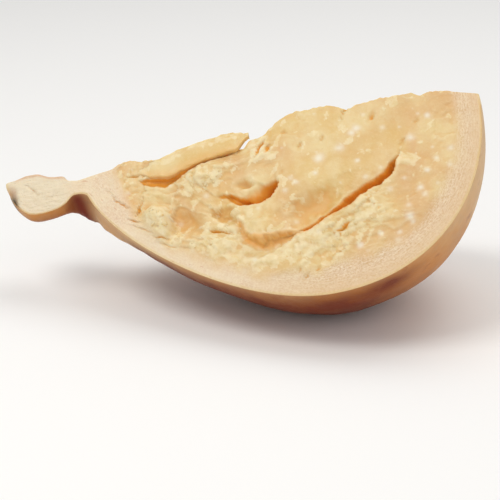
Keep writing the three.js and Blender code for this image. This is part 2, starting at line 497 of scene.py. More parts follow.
CHALKY = swellings(
    (44, 35, 8.5, 10, 0.2, 0.9, 4.0), (101, 4, 5, 8, 0.0, 0.6, 3.0),
    (66, 15, 9, 4, -0.35, 0.6, 3.0), (86, 49, 5, 4, 0.2, 0.7, 3.0),
    (174, 27, 5, 6, 0.0, 0.6, 3.0), (146, 55, 12, 4, -0.5, 0.5, 3.0),
    (108, 62, 36, 9, -0.08, 0.62, 3.0), (76, 57, 18, 6, 0.35, 0.58, 3.0),
)
CRYSTALS = spots(
    (131, 16, 2.6), (142, 13, 2.2), (197, 25, 1.7), (195, 34, 1.5), (184, 35, 1.3),
    (189, 29, 1.3), (172, 58, 2.0), (179, 44, 1.5), (152, 4, 1.9), (149, 6, 1.5),
    (178, 15, 2.0), (146, 68, 1.7), (166, 65, 1.4), (165, 69, 1.7), (157, 64, 1.3),
    (173, 61, 1.2), (118, 27, 1.3), (128, 24, 1.2), (150, 22, 1.2), (188, 4, 1.5),
)
BACK_CRUMBLY = swellings(
    (70, 30, 26, 12, 0.35, 0.8, 3.0), (120, 58, 44, 10, 0.0, 0.7, 3.0),
    (178, 26, 12, 16, 0.0, 0.6, 3.0),
)
BACK_CALM = swellings((126, 16, 46, 24, 0.1, 1.0, 4.0), (62, 8, 18, 12, 0.0, 0.8, 3.0))
BACK_CRACK = Crack(
    Line((
        (58, 26, 0.4, 1), (72, 31, 2.0, 4), (88, 33, 2.6, 5), (104, 40, 1.6, 4), (122, 43, 0.5, 1),
    )),
    lip=2.0, lip_fade=18,
)


# ---- the cheese's body -------------------------------------------------------------------------


class Side(Enum):
    """The two broken faces, each with its turn about the axis from the ridge."""

    FRONT = -1
    BACK = 1

    def outward(self) -> Array:
        """The direction the face looks in, as (across, up)."""
        return np.array([self.value * DIAGONAL, DIAGONAL])

    def downward(self) -> Array:
        """The direction from the ridge to the rind within the face, as (across, up)."""
        return np.array([self.value * DIAGONAL, -DIAGONAL])


def on_face(side: Side, x: Array, down: Array, height: Array) -> Array:
    """Points on a broken face.

    Args:
        side: Which face.
        x: Distances along the axis.
        down: Distances down the face.
        height: How far they stand off the plane of the face through the axis.

    Returns:
        The points, in the cheese's own frame.
    """
    across_up = height[..., None] * side.outward() + down[..., None] * side.downward()
    return np.concatenate([x[..., None], across_up], -1)


@dataclass
class Form:
    """The smooth form of the cheese: its outline, its two planes and the way it lies."""

    body_length: float = 215
    belly_place: float = 130.5
    belly_radius: float = 90.5
    neck_radius: float = 11.5
    groove_half: float = 7.5
    knob_length: float = 31
    knob_radius: float = 17.3
    cut_offset: float = 8
    pitch: float = math.radians(14)
    place: tuple[float, float, float] = (-125.603, 0.0, 56.896)
    under_spread: float = math.radians(62)
    bluntness: float = 9.0  # below this radius the planes no longer shape the ends
    outline: Array = field(init=False)

    def __post_init__(self) -> None:
        """Draws the outline from five curves, from the knob's tip to the base."""
        groove, widest, end = self.groove_half, self.belly_place, self.body_length
        knob, neck, belly = self.knob_radius, self.neck_radius, self.belly_radius
        tip, wide = -(groove + self.knob_length), -(groove + 0.4 * self.knob_length)
        shoulder, span = neck + groove / 3, widest - groove
        count = 160
        curves = (
            (
                ((tip, 0), (wide, knob)),
                ((tip, 0.75 * knob), (tip + 0.45 * (wide - tip), knob)),
                count,
            ),
            (
                ((wide, knob), (0, neck)),
                ((wide + 0.56 * self.knob_length, knob), (-0.6 * groove, neck)),
                count,
            ),
            (
                ((0, neck), (groove, shoulder)),
                ((0.5 * groove, neck), (0.85 * groove, neck + 0.1 * (shoulder - neck))),
                count // 4,
            ),
            (
                ((groove, shoulder), (widest, belly)),
                ((groove + 0.13 * span, shoulder + 0.325 * belly), (groove + 0.62 * span, belly)),
                count,
            ),
            (
                ((widest, belly), (end, 0)),
                ((widest + 0.66 * (end - widest), belly), (end, 0.51 * belly)),
                count,
            ),
        )
        self.outline = np.concatenate([bezier(*curve)[1:] for curve in curves])
        self.tip = tip
        self.wide = wide

    def stations(self, count: int) -> tuple[Array, Array]:
        """Sections along the outline, spaced evenly by the length of the outline.

        Args:
            count: How many sections.

        Returns:
            Each section's place along the axis and its radius.
        """
        steps = np.hypot(*np.diff(self.outline, axis=0).T)
        run = np.concatenate([[0], np.cumsum(steps)])
        at = np.linspace(0, run[-1], count + 2)[1:-1]
        places = np.interp(at, run, self.outline[:, 0])
        return places, np.interp(at, run, self.outline[:, 1])

    def out_of_round(self, x: Array, from_under: Array) -> Array:
        """How much further the underside stands than the outline.

        The knob dried flat below and the neck sagged under the rope's groove.

        Args:
            x: Places along the axis.
            from_under: Angles from straight down, in radians.

        Returns:
            The factor on the radius.
        """
        groove = self.groove_half
        gains = [
            (self.tip, -0.33), (self.wide, -0.38), (-1.3 * groove, -0.46), (-0.8 * groove, -0.3),
            (0, 0.6), (groove / 2, 0.8), (groove, 0.76), (1.3 * groove, 0.5),
            (1.6 * groove, 0.36), (2.1 * groove, 0.25), (2.8 * groove, 0.1), (4 * groove, 0.0),
        ]
        gain = soft_line(gains, x, 1.5)
        return 1 + gain * (1 - ramp(0, self.under_spread, np.abs(from_under)))

    def rim_distance(self, x: Array, down: Array) -> tuple[Array, Array]:
        """How far places on a face are from its rim, and where along the rim.

        Args:
            x: Distances along the axis.
            down: Distances down the face, which may be negative.

        Returns:
            The distance to the rim and the length along the rim at its nearest point.
        """
        radius = self.outline[::4, 1]
        reach = np.sqrt(np.maximum(radius**2 - self.cut_offset**2, 0))
        rim = np.stack([self.outline[::4, 0], reach], -1)
        run = np.concatenate([[0], np.cumsum(np.hypot(*np.diff(rim, axis=0).T))])
        shape = x.shape
        places = np.stack([x.ravel(), np.abs(down).ravel()], -1)
        best = np.full(len(places), FAR)
        along = np.zeros(len(places))
        for (start, end), at in zip(zip(rim, rim[1:]), run):
            stretch = end - start
            length = max(float(np.hypot(*stretch)), TINY)
            share = clipped((places - start) @ stretch / length**2)
            gap = np.hypot(*(places - start - share[:, None] * stretch).T)
            closer = gap < best
            best = np.where(closer, gap, best)
            along = np.where(closer, at + share * length, along)
        return best.reshape(shape), along.reshape(shape)

    def lay(self, points: Array) -> Array:
        """Turns points to the way the cheese lies, and from millimetres into metres.

        Args:
            points: Points in the cheese's own frame, in the last axis.

        Returns:
            The same points in the scene's frame, none below the surface it lies on.
        """
        cos, sin = math.cos(self.pitch), math.sin(self.pitch)
        x, y, z = points[..., 0], points[..., 1], points[..., 2]
        laid = np.stack([x * cos - z * sin, y, x * sin + z * cos], -1) + np.array(self.place)
        laid[..., 2] = np.maximum(laid[..., 2], 0)
        return laid * METRES


@dataclass
class Marks:
    """What each place of a face is like, every value from 0 to 1."""

    band: Array  # the smooth band that was cut, inside the rind
    crumb: Array  # rough, crumbly paste
    flake: Array  # chalky flakes, where the paste broke across its grain
    crest: Array  # the small edges that stand up, which the paste paints paler as a highlight
    low: Array  # the small hollows between them, which the paste paints as warm shade
    deep: Array  # how far down in a crack or a hollow, which the paste paints as glow and shade
    crystal: Array  # white crystals
    pale: Array  # the pale line along the very edge
    blush: Array  # pinkish stretches
    mould: Array  # grey-green growth
    tan: Array  # dried places on the knob


MARK_NAMES = tuple(each.name for each in fields(Marks))


@dataclass
class Relief:
    """A face's unevenness: its height off the plane, its sideways shift and its marks."""

    height: Array
    shift_x: Array
    shift_down: Array
    marks: Marks


@dataclass(frozen=True)
class Ground:
    """The paste of a face before anything is broken out of it."""

    x: Array  # the places, along and down
    down: Array
    stray_x: Array  # the same places, wandering by a millimetre or two
    stray_down: Array
    rim: Array  # how far from the rim
    band: Array  # the share of the smooth cut band
    open_paste: Array  # and of the broken paste
    crumb: Array  # how crumbly it is
    lively: Array  # how uneven it is apart from that
    flake: Array  # how much of it is chalky flakes
    chunky: Array  # where the chalky paste broke into chunks
    dry: Array  # the dried corner near the base


@dataclass(frozen=True)
class Cuts:
    """What is broken out of a face or stands up from it: two heights and three depths."""

    humps: Array
    ledges: Array
    scooped: Array
    gaps: Array
    holes: Array


@dataclass(frozen=True)
class Lumps:
    """Lumps of the plane, each flat with its own tilt and level, with worn borders."""

    size: float
    tilt: float  # the steepest slope along either direction
    level: float  # how far apart the highest and the lowest lump are
    worn: float = 0.25  # how far the borders are worn down, as a share of the level
    worn_width: float = 0.12  # and how far in, as a share of the size

    def height(self, chance: Chance, x: Array, down: Array) -> Array:
        """A lump's random level plus, both ways, a random slope times the way from its seed."""
        border, dx, dy, values = chance.cells(x, down, self.size)
        level, slope_x, slope_down = (values[..., column] - 0.5 for column in (2, 3, 4))
        height = self.level * level + self.tilt * 2 * (dx * slope_x + dy * slope_down)
        return height - self.worn * self.level * bell(border, self.worn_width * self.size)


SLABS = Lumps(17, 0.12, 1.5)
CHIPS = Lumps(6, 0.30, 2.0)
GRIT = Lumps(2.5, 0.42, 1.2)
CHIP_TURN = (0.88, 0.48)  # cosine and sine of the way the chips and the grit are drawn out
FLAKE_TURN = (0.5, 0.87)  # and of the way the flakes and the holes are
BAND_WIDTHS = (
    (-40, 40), (6, 32), (18, 20), (27, 13.5), (38, 9), (48, 7), (62, 7.5), (90, 9), (115, 11),
    (130, 15), (158, 13), (182, 10.5), (215, 11),
)


@dataclass
class BrokenFace:
    """One of the two faces the cheese was broken along."""

    form: Form
    side: Side
    seed: int
    cracks: tuple[Crack, ...] = ()
    ledges: tuple[Line, ...] = ()
    scoops: tuple[Line, ...] = ()
    swellings: tuple[Swelling, ...] = ()
    crumbly: tuple[Swelling, ...] = ()
    calm: tuple[Swelling, ...] = ()
    chalky: tuple[Swelling, ...] = ()
    holes: tuple[Spot, ...] = ()
    crystals: tuple[Spot, ...] = ()
    roughness: float = 1.0
    stray: float = 1.5  # how far the texture's places wander
    dry_corner: tuple[float, float] = (174, 20)  # its place along, and its distance from the rim
    edge_worn: float = 0.55  # how far the very edge is worn down
    edge_width: float = 1.3
    crack_slip: float = 0.5  # how far a gap's floor is drawn along, and a fifth more up

    def __post_init__(self) -> None:
        """Seeds the face's own sources of unevenness."""
        self.broad, self.fine, self.lumps, self.breaks, self.wander = (
            Chance(self.seed + step) for step in range(5)
        )

    def band(self, x: Array, rim: Array) -> tuple[Array, Array]:
        """How much of the smooth cut band each place has, and how much of the broken paste.

        The band is widest by the neck, which is smooth from edge to edge, and narrows along the
        belly. Its inner border wanders by a few millimetres, and the paste's unevenness grows
        slowly from there.

        Args:
            x: Distances along the axis.
            rim: Distances from the rim.

        Returns:
            The two shares.
        """
        inner = rim - soft_line(BAND_WIDTHS, x, 4) - 3.2 * self.broad.layers(x, rim, 13, 4)
        return 1 - ramp(-5.0, 5.5, inner), ramp(-3.5, 8.0, inner)

    def relief(self, x: Array, down: Array) -> Relief:
        """Works out the face's unevenness.

        The height is the broken texture, plus the stated humps, hollows and ledges and the lips
        of the cracks, less the gaps, holes and scoops. All but the last three fade out in the
        smooth band, which has fine creases of its own.

        Args:
            x: Distances along the axis.
            down: Distances down the face.

        Returns:
            The relief at each place.
        """
        ground = self._ground(x, down)
        gaps, lips = self._cracks(x, down)
        cuts = Cuts(
            humps=heaped(self.swellings, ground.stray_x, ground.stray_down),
            ledges=self._ledges(ground.stray_x, ground.stray_down),
            scooped=self._scoops(x, down), gaps=gaps, holes=self._holes(x, down),
        )
        height = self._texture(ground) + (cuts.humps + cuts.ledges + lips) * ground.open_paste
        height -= gaps + cuts.holes + cuts.scooped + self._band_height(ground)
        slip = self.crack_slip * ramp(1.5, 5.4, gaps)
        return Relief(height, slip, -1.2 * slip, self._marks(ground, cuts, height))

    def _ground(self, x: Array, down: Array) -> Ground:
        """Works out what the paste is like, from the stated patches and some chance.

        Args:
            x: Distances along the axis.
            down: Distances down the face.

        Returns:
            The ground at each place.
        """
        rim, _ = self.form.rim_distance(x, down)
        band, open_paste = self.band(x, rim)
        off_x, off_down = self.wander.strays(x, down, 9, (0, 80))
        stray_x, stray_down = x + self.stray * off_x, down + self.stray * off_down
        calm = clipped(heaped(self.calm, x, down))
        patchy = self.broad.layers(x * 0.8 + 40, down * 1.3, 15, 4)
        crumb = heaped(self.crumbly, x, down) * (1 - 0.8 * calm) + (0.35 - 0.1 * calm) * patchy
        crumb = clipped(crumb) * open_paste
        lively = 1 - 0.85 * calm
        chalk = heaped(self.chalky, stray_x, stray_down)
        chunky = ramp(0.7, 0.88, chalk)
        chalk = ramp(0.15, 0.6, chalk + 0.5 * self.fine.layers(x, down, 5, 3))
        corner, inward = self.dry_corner
        dry = bell(x - corner, 24) * bell(rim - inward, 17) * (self.side is Side.FRONT)
        flake = self._flakes(stray_x, stray_down, crumb, lively) * (1 - 0.75 * dry)
        flake = np.maximum(flake, 0.85 * chalk) * open_paste
        return Ground(
            x, down, stray_x, stray_down, rim, band, open_paste, crumb, lively, flake, chunky, dry
        )

    def _texture(self, ground: Ground) -> Array:
        """The height of the broken paste itself.

        It sums broad swells, slabs, terraces (a slow height rounded to steps), chips, grit and
        flakes, and fine crumbs, most of them higher where the paste is crumbly.

        Args:
            ground: What the paste is like.

        Returns:
            The heights.
        """
        crumb, lively = ground.crumb, ground.lively
        big = SLABS.height(self.lumps, ground.stray_x, ground.stray_down)
        big += self._terraces(ground.x, ground.down)
        drawn, across = turned(ground.stray_x, ground.stray_down, CHIP_TURN, (0.62, 1.15))
        chips = CHIPS.height(self.lumps, drawn, across)
        chips = chips * (0.05 * lively + 0.42 * crumb + 0.6 * ground.chunky)
        grit = GRIT.height(self.lumps, drawn, across) * (0.02 + 0.10 * crumb)
        flakes = ground.flake * (0.12 + 0.42 * crumb)
        fine = (0.10 + 0.14 * crumb) * self.fine.layers(ground.x, ground.down, 2.8, 2)
        swells = 1.2 * self.broad.layers(ground.x, ground.down, 34, 2)
        small = averaged(chips + grit + flakes, 1)
        height = swells + big * lively * (0.4 + 0.4 * crumb) + small + fine
        return self.roughness * ground.open_paste * height

    def _band_height(self, ground: Ground) -> Array:
        """How far the band lies below its plane: fine creases and the worn edge.

        Args:
            ground: What the paste is like.

        Returns:
            The depths, negative where a crease stands up.
        """
        crease = 0.10 + 0.22 * ramp(2, -8, ground.x)
        crease = crease * self.fine.layers(ground.x, ground.down * 3, 5, 4)
        edge = self.edge_worn * (1 - ramp(0, self.edge_width, ground.rim)) ** 2
        return edge - crease * ground.band * ramp(0, 2, ground.rim)

    def _marks(self, ground: Ground, cuts: Cuts, height: Array) -> Marks:
        """Works out the marks.

        Crests and hollows are where the height, with the gaps mostly filled, stands above or
        below its own average near by. The paste paints the crests paler as a painted highlight
        and the hollows amber as painted shade.

        Args:
            ground: What the paste is like.
            cuts: What is broken out of it.
            height: The finished height.

        Returns:
            The marks.
        """
        x, open_paste = ground.x, ground.open_paste
        solid = height + 0.6 * (cuts.gaps + cuts.scooped)
        near, wide = solid - averaged(solid, 2), solid - averaged(solid, 7)
        # Hollows at two sizes, for the painted warm shade in them.
        low = clipped(-near / 0.7) + 0.6 * clipped(-wide / 2.2)
        blush = 0.4 + 0.6 * ramp(90, 50, x) + 0.5 * ramp(160, 190, x)
        blush += 0.8 * self.broad.layers(x - 60, ground.down, 30, 3) + 0.9 * ground.dry
        return Marks(
            band=ground.band,
            crumb=ground.crumb,
            flake=ground.flake,
            crest=clipped(near / 0.7) * open_paste,
            low=clipped(low) * open_paste,
            deep=self._deep(cuts),
            crystal=self._crystals(x, ground.down) * (0.25 + 0.75 * open_paste),
            pale=1 - ramp(0.5, 1.5, ground.rim),
            blush=clipped(blush),
            mould=np.zeros_like(x),
            tan=np.zeros_like(x),
        )

    def _deep(self, cuts: Cuts) -> Array:
        """How deep each place lies, which the paste paints as glow and shade, with a painted warm
        glow round cracks and ledges.

        Args:
            cuts: What is broken out of the face.

        Returns:
            The depths, from 0 to 1.
        """
        deep = ramp(0.1, 2.4, cuts.gaps + cuts.holes) * 0.5 + 0.3 * ramp(4.5, 7, cuts.gaps)
        deep += cuts.scooped / 9 + np.clip(-cuts.humps - 2, 0, 4) / 26
        # The ledges' walls and lower sides, to be painted in shade.
        step = np.abs(averaged(cuts.ledges, 2) - cuts.ledges)
        step = 1.6 * step - 2.4 * np.minimum(cuts.ledges, 0)
        # Painted glow that spreads from cracks, scoops and ledge walls onto their lips.
        fringe = ramp(0.2, 2.2, averaged(cuts.gaps + 0.6 * cuts.scooped + step, 2))
        return np.maximum(clipped(deep), 0.26 * fringe)

    def _flakes(self, x: Array, down: Array, crumb: Array, lively: Array) -> Array:
        """Chalky flakes: some of the lumps of two sizes, the small ones drawn out one way.

        The big ones lie only where the paste is crumbly, the small ones everywhere.

        Args:
            x: Distances along the axis.
            down: Distances down the face.
            crumb: How crumbly the paste is.
            lively: How uneven it is.

        Returns:
            How much of a flake each place has.
        """
        total = np.zeros_like(x)
        drawn, across = turned(x, down, FLAKE_TURN, (0.6, 1.5))
        for u, v, size, chance in (
            (x * 0.8, down * 1.15, 6.5, 0.55 * crumb),
            (drawn, across, 3.2, 0.03 + 0.42 * crumb + 0.10 * lively),
        ):
            border, _, _, values = self.breaks.cells(u, v, size)
            chosen = values[..., 0] < chance
            total = np.maximum(total, chosen * ramp(0.0, 0.22 * size, border))
        return total

    def _terraces(self, x: Array, down: Array) -> Array:
        """A slow height rounded to steps: floor(h) plus a steep rise in the step's last third."""
        slow = 2.6 * self.broad.layers(x * 0.7 - 25, down * 1.3, 26, 4) + 0.02 * down
        step = np.floor(slow)
        rise = ramp(0.72, 1.0, slow - step)
        return 1.3 * (step + rise - 0.25 * (slow - step))

    def _ledges(self, x: Array, down: Array) -> Array:
        """Steps broken across the face: the side nearer the ridge stands up at the line.

        Args:
            x: Distances along the axis.
            down: Distances down the face.

        Returns:
            The heights, a little negative on the lower side.
        """
        total = np.zeros_like(x)
        off_x, off_down = self.breaks.strays(x, down, 7, (30, -60))
        for line in self.ledges:
            reading = line.read(x + 1.3 * off_x, down + 1.3 * off_down)
            upper = ramp(0.6, -0.6, reading.below)
            total += upper * reading.depth * np.exp(-reading.distance / 14)
            total -= (1 - upper) * 0.25 * reading.depth * np.exp(-reading.distance / 5)
        return total

    def _scoops(self, x: Array, down: Array) -> Array:
        """Hollows with one steep wall: deepest at their line, rising away from it to the ridge.

        Args:
            x: Distances along the axis.
            down: Distances down the face.

        Returns:
            The depths.
        """
        total = np.zeros_like(x)
        off_x, off_down = self.breaks.strays(x, down, 7)
        for line in self.scoops:
            reading = line.read(x + 0.9 * off_x, down + 0.9 * off_down)
            inner = ramp(0.5, -0.5, reading.below)
            total += inner * reading.depth * np.exp(-((reading.distance / 5.2) ** 1.6))
        return total

    def _cracks(self, x: Array, down: Array) -> tuple[Array, Array]:
        """Gaps and the raised lips on their upper sides.

        A gap is as deep as its line says within its half width. Its upper wall rises over half
        a millimetre, and its lower one over up to 1.6 mm where the gap is wide. A lip falls off
        as e to the minus distance / fade, and has less height where the gap is shallower than
        4 mm.

        Args:
            x: Distances along the axis.
            down: Distances down the face.

        Returns:
            The gaps' depths and the lips' heights.
        """
        gaps, lips = np.zeros_like(x), np.zeros_like(x)
        off_x, off_down = self.breaks.strays(x, down, 6)
        for crack in self.cracks:
            reading = crack.line.read(x + crack.ragged * off_x, down + crack.ragged * off_down)
            half = reading.width / 2
            wall = 0.5 + 1.1 * ramp(0, 1.2, reading.below) * ramp(1.0, 3.0, reading.width)
            gap = reading.depth * ramp(half + wall, 0.35 * half - 0.2, reading.distance)
            gaps = np.maximum(gaps, gap)
            upper = ramp(0.8, -0.8, reading.below)
            held = np.minimum(1, reading.depth / 4)
            lips += crack.lip * held * upper * np.exp(-reading.distance / crack.lip_fade)
        return gaps, lips

    def _holes(self, x: Array, down: Array) -> Array:
        """Small ragged pits: a bell of each one's radius, drawn out one way, a bit deeper.

        Args:
            x: Distances along the axis.
            down: Distances down the face.

        Returns:
            The depths.
        """
        total = np.zeros_like(x)
        off_x, off_down = self.breaks.strays(x, down, 3, (0, 50), 3)
        for hole in self.holes:
            place_x, place_down = x - hole.along + 0.8 * off_x, down - hole.down + 0.8 * off_down
            drawn, across = turned(place_x, place_down, FLAKE_TURN, (0.6, 1.3))
            total += 1.4 * hole.radius * bell(np.hypot(drawn, across), hole.radius)
        return total

    def _crystals(self, x: Array, down: Array) -> Array:
        """White crystals: the stated ones, and small ones scattered one to a lump.

        Args:
            x: Distances along the axis.
            down: Distances down the face.

        Returns:
            How much of a crystal each place has.
        """
        total = np.zeros_like(x)
        ragged = 0.5 * self.breaks.layers(x, down, 4, 3)
        for crystal in self.crystals:
            off = np.hypot(x - crystal.along, (down - crystal.down) * 1.1)
            total += 0.95 * bell(off + ragged, crystal.radius)
        _, dx, dy, values = self.breaks.cells(x, down, 13)
        chosen = values[..., 2] > 0.45
        small = bell(np.hypot(dx, dy), 0.5 + 1.1 * values[..., 3])
        return clipped(total + 0.6 * chosen * small)


@dataclass
class Skin:
    """A worked-out surface: its points as sections by rows, and what each place is like."""

    points: Array
    front: Array  # the points that belong to the front face
    is_rind: Array  # for each row, whether the faces after it are rind
    marks: dict[str, Array]


@dataclass
class Quarter:
    """The cheese itself: one closed surface of sections, each a closed loop of rows.

    A section's loop runs down the front face, round the rind and up the back face to the ridge.
    """

    form: Form
    front: BrokenFace
    back: BrokenFace
    sections: int = 348
    front_rows: int = 134
    rind_rows: int = 58
    back_rows: int = 66
    ridge_rows: int = 3
    ridge_gap: float = 0.35  # how far from the ridge each face starts
    ridge_round: float = 0.22  # how far the rows between them stand up
    back_fade: float = 52  # how far down the back face its rise towards the ridge reaches
    ridge_seed: int = 77
    rind_seed: int = 301

    RIDGE = (
        (-38.5, -6), (-36, -7), (-31, -7.5), (-27, -9), (-20, -8.4), (-15, -5.6), (-12, -4.8),
        (-7, -4.2), (-5.2, -3.4), (-4.2, -0.8), (2, 0.5), (12, -1), (21, -2), (26, -4),
        (30, -5.5), (35, -4), (42, -3), (60, -3), (80, -1.5), (87, 1), (93, 0.5), (95, -3),
        (103, -3.5), (107, -7), (113, -11), (118, -13), (134, -13), (141, -12), (146, -9),
        (150, -8), (155, -10), (173, -10), (182, -10), (186, -8), (192, -9), (203, -6),
        (212, -3), (215, -2),
    )
    TIP_PUSHES = ((-8, -3.4), (-5.5, -2.6), (-1, 0), (3.4, 1.1), (8, 2.5), (13, 4.0), (20, 4.2))

    def ridge_line(self, x: Array) -> Array:
        """How far down the front face the ridge lies at each section, with small breaks."""
        chance = Chance(self.ridge_seed)
        level = np.zeros_like(x)
        inside = ramp(15, 30, x) * ramp(210, 190, x)
        ragged = 0.8 * chance.layers(x, level, 7, 3) + 0.35 * chance.layers(x, level + 9, 2.2, 2)
        return soft_line(self.RIDGE, x, 1.0) + ragged * inside

    def build(self) -> Skin:
        """Works out every point of the surface.

        Returns:
            The surface and its marks.
        """
        form = self.form
        places, radii = form.stations(self.sections)
        held = np.maximum(radii, form.bluntness)
        edge = np.sqrt(held**2 - form.cut_offset**2)
        ridge = self.ridge_line(places)
        front, front_points = self._front(places, edge, ridge)
        start = self.ridge_gap - (form.cut_offset + front.height[:, 0])
        offset = form.cut_offset + self._rise(ridge, edge - start)
        back_edge = np.sqrt(np.maximum(held**2 - offset**2, 1))
        back, back_points = self._back(places, start, back_edge, ridge)
        rind_points, rind_marks = self._rind(places, radii, held, offset)
        ridge_points = self._ridge_points(back_points[:, -1], front_points[:, 0])

        points = np.concatenate([front_points, rind_points, back_points, ridge_points], 1)
        points = self._bend_tip(self._keep_inside(points, places, radii))
        is_rind = np.zeros(points.shape[1], bool)
        is_rind[self.front_rows - 1 : self.front_rows + self.rind_rows] = True
        marks = {}
        for name in MARK_NAMES:
            of_front, of_back = getattr(front.marks, name), getattr(back.marks, name)[:, ::-1]
            over = columns(of_front[:, 0], self.ridge_rows)
            marks[name] = np.concatenate([of_front, rind_marks[name], of_back, over], 1)
        return Skin(points, points[:, : self.front_rows], is_rind, marks)

    def _front(self, places: Array, edge: Array, ridge: Array) -> tuple[Relief, Array]:
        """The front face, from the ridge down to the rind.

        Args:
            places: The sections' places along the axis.
            edge: How far down the face meets the rind.
            ridge: How far down the ridge lies.

        Returns:
            The face's relief and its points.
        """
        share = np.linspace(0, 1, self.front_rows)
        top = ridge + self.ridge_gap
        down = top[:, None] + share * (edge - top)[:, None]
        x = columns(places, self.front_rows)
        relief = self.front.relief(x, down)
        self._knob_face(relief, x, down)
        return relief, self._face_points(Side.FRONT, x, down, relief)

    def _back(
        self, places: Array, start: Array, edge: Array, ridge: Array
    ) -> tuple[Relief, Array]:
        """The back face, from the rind up to the ridge. It rises to meet the front face there.

        Args:
            places: The sections' places along the axis.
            start: How far down the face starts, at the ridge.
            edge: How far down it meets the rind.
            ridge: How far down the front face the ridge lies.

        Returns:
            The face's relief, from the ridge down, and its points, from the rind up.
        """
        share = np.linspace(0, 1, self.back_rows) ** 0.9
        from_ridge = share * (edge - start)[:, None]
        x = columns(places, self.back_rows)
        down = start[:, None] + from_ridge
        relief = self.back.relief(x, down)
        relief.height *= ramp(0, 6, from_ridge)
        relief.height += self._rise(ridge[:, None], from_ridge)
        return relief, self._face_points(Side.BACK, x, down, relief)[:, ::-1]

    def _rise(self, ridge: Array, from_ridge: Array) -> Array:
        """How far the back face stands off its plane, to meet the front face at the ridge."""
        return (-ridge - self.form.cut_offset) * (1 - ramp(0, self.back_fade, from_ridge))

    def _knob_face(self, front: Relief, x: Array, down: Array) -> None:
        """Adds the slanted facet and the growth at the knob's tip to the front relief.

        Args:
            front: The relief, which is changed.
            x: Distances along the axis.
            down: Distances down the face.
        """
        tilt = ramp(-31.5, -36.5, x + 0.12 * down) * ramp(11, 5, down) * ramp(-6, 0, down)
        front.height -= 2.6 * tilt + 0.5 * ramp(2, 12, -x) * (1 - bell(down - 4, 9))
        spot = bell(np.hypot((x + 37.0) / 2.6, (down - 5.8) / 5.6), 1.0)
        front.marks.mould[...] = clipped(1.3 * spot)
        lip = bell(down - down[:, :1], 1.1) * ramp(-34, -28, x) * ramp(-3, -8, x)
        front.marks.tan[...] = clipped(0.8 * tilt + 0.7 * lip)
        front.marks.blush[...] *= 1 - 0.85 * (1 - ramp(-10, 4, x))

    def _bend_tip(self, points: Array) -> Array:
        """Bends the knob's tip: its upper end stays a point and the lower side is pushed back.

        The push, in millimetres along the axis, depends on how far below the ridge a point is,
        and fades out over the knob's length.
        """
        down = -(points[..., 1] + points[..., 2]) * DIAGONAL
        bent = points.copy()
        bent[..., 0] += soft_line(self.TIP_PUSHES, down, 1.5) * ramp(-20, -38.5, points[..., 0])
        return bent

    def _face_points(self, side: Side, x: Array, down: Array, relief: Relief) -> Array:
        """Places on a face: along the axis, plus height along its outward direction, plus down."""
        height = self.form.cut_offset + relief.height
        return on_face(side, x + relief.shift_x, down + relief.shift_down, height)

    def _rind(
        self, places: Array, radii: Array, held: Array, back_offset: Array
    ) -> tuple[Array, dict[str, Array]]:
        """The rind: an arc of each section's circle between the two faces, slightly dented.

        The rows crowd towards both edges as a cosine, so the edges stay crisp.

        Args:
            places: The sections' places along the axis.
            radii: Their radii.
            held: The radii that the planes are reckoned with.
            back_offset: How far the back face stands off the axis where it meets the rind.

        Returns:
            The rind's points and its marks.
        """
        form = self.form
        half = math.pi / 4 + np.arcsin(form.cut_offset / held)
        back_half = math.pi / 4 + np.arcsin(back_offset / held)
        share = np.linspace(0, 1, self.rind_rows + 2)[1:-1]
        eased = 0.35 * share + 0.65 * (0.5 - 0.5 * np.cos(math.pi * share))
        angle = (half + back_half)[:, None] * eased - half[:, None]
        x = columns(places, self.rind_rows)
        around = angle * radii[:, None]
        from_edge = np.minimum(eased, 1 - eased) * 2 * half[:, None] * radii[:, None]
        chance = Chance(self.rind_seed)
        radius = radii[:, None] * form.out_of_round(x, angle)
        inner = ramp(0, 9, from_edge) * ramp(0, 12, radii)[:, None]
        dents = 0.9 * chance.layers(x, around, 46, 3) * ramp(6, 60, x)
        puckers = 0.5 * chance.layers(x / 9, angle * 26, 2.2, 2) * ramp(2, 9, x) * ramp(75, 25, x)
        pores = 0.10 * chance.layers(x, around, 3.4, 2)
        rings = 0.28 * np.sin(x * 2.3 + 1.5 * angle) * bell(x, form.groove_half * 0.8)
        radius += inner * (dents + puckers + pores) + rings * ramp(0, 3, from_edge)
        marks = {name: np.zeros_like(x) for name in MARK_NAMES}
        marks["pale"] = (1 - ramp(0.1, 1.0, from_edge)) * (0.4 + 0.6 * ramp(0, 20, x))
        growth = ramp(0.2, 0.7, chance.layers(x, around, 9, 3) + 0.5)
        marks["mould"] = 0.9 * ramp(-30, -38, x) * growth
        return np.stack([x, radius * np.sin(angle), -radius * np.cos(angle)], -1), marks

    def _ridge_points(self, back_end: Array, front_start: Array) -> Array:
        """A few rows that round the ridge off, from the back face over to the front face."""
        share = (np.arange(self.ridge_rows) + 1) / (self.ridge_rows + 1)
        line = back_end[:, None] + share[None, :, None] * (front_start - back_end)[:, None]
        line[..., 2] += self.ridge_round * np.sin(math.pi * share)
        return line

    def _keep_inside(self, points: Array, places: Array, radii: Array) -> Array:
        """Pulls points that stand outside the rind's own round back onto it.

        Args:
            points: The points of every section.
            places: The sections' places along the axis.
            radii: Their radii.

        Returns:
            The points, moved towards the axis where they were too far out.
        """
        across, up = points[..., 1], points[..., 2]
        from_under = np.arctan2(np.abs(across), -up)
        limit = self.form.out_of_round(columns(places, points.shape[1]), from_under)
        slack = 1.0 * ramp(10, 30, radii)
        reach = np.maximum(np.hypot(across, up), TINY)
        scale = np.minimum(1, (radii[:, None] * limit + slack[:, None]) / reach)
        return np.concatenate([points[..., :1], points[..., 1:] * scale[..., None]], -1)


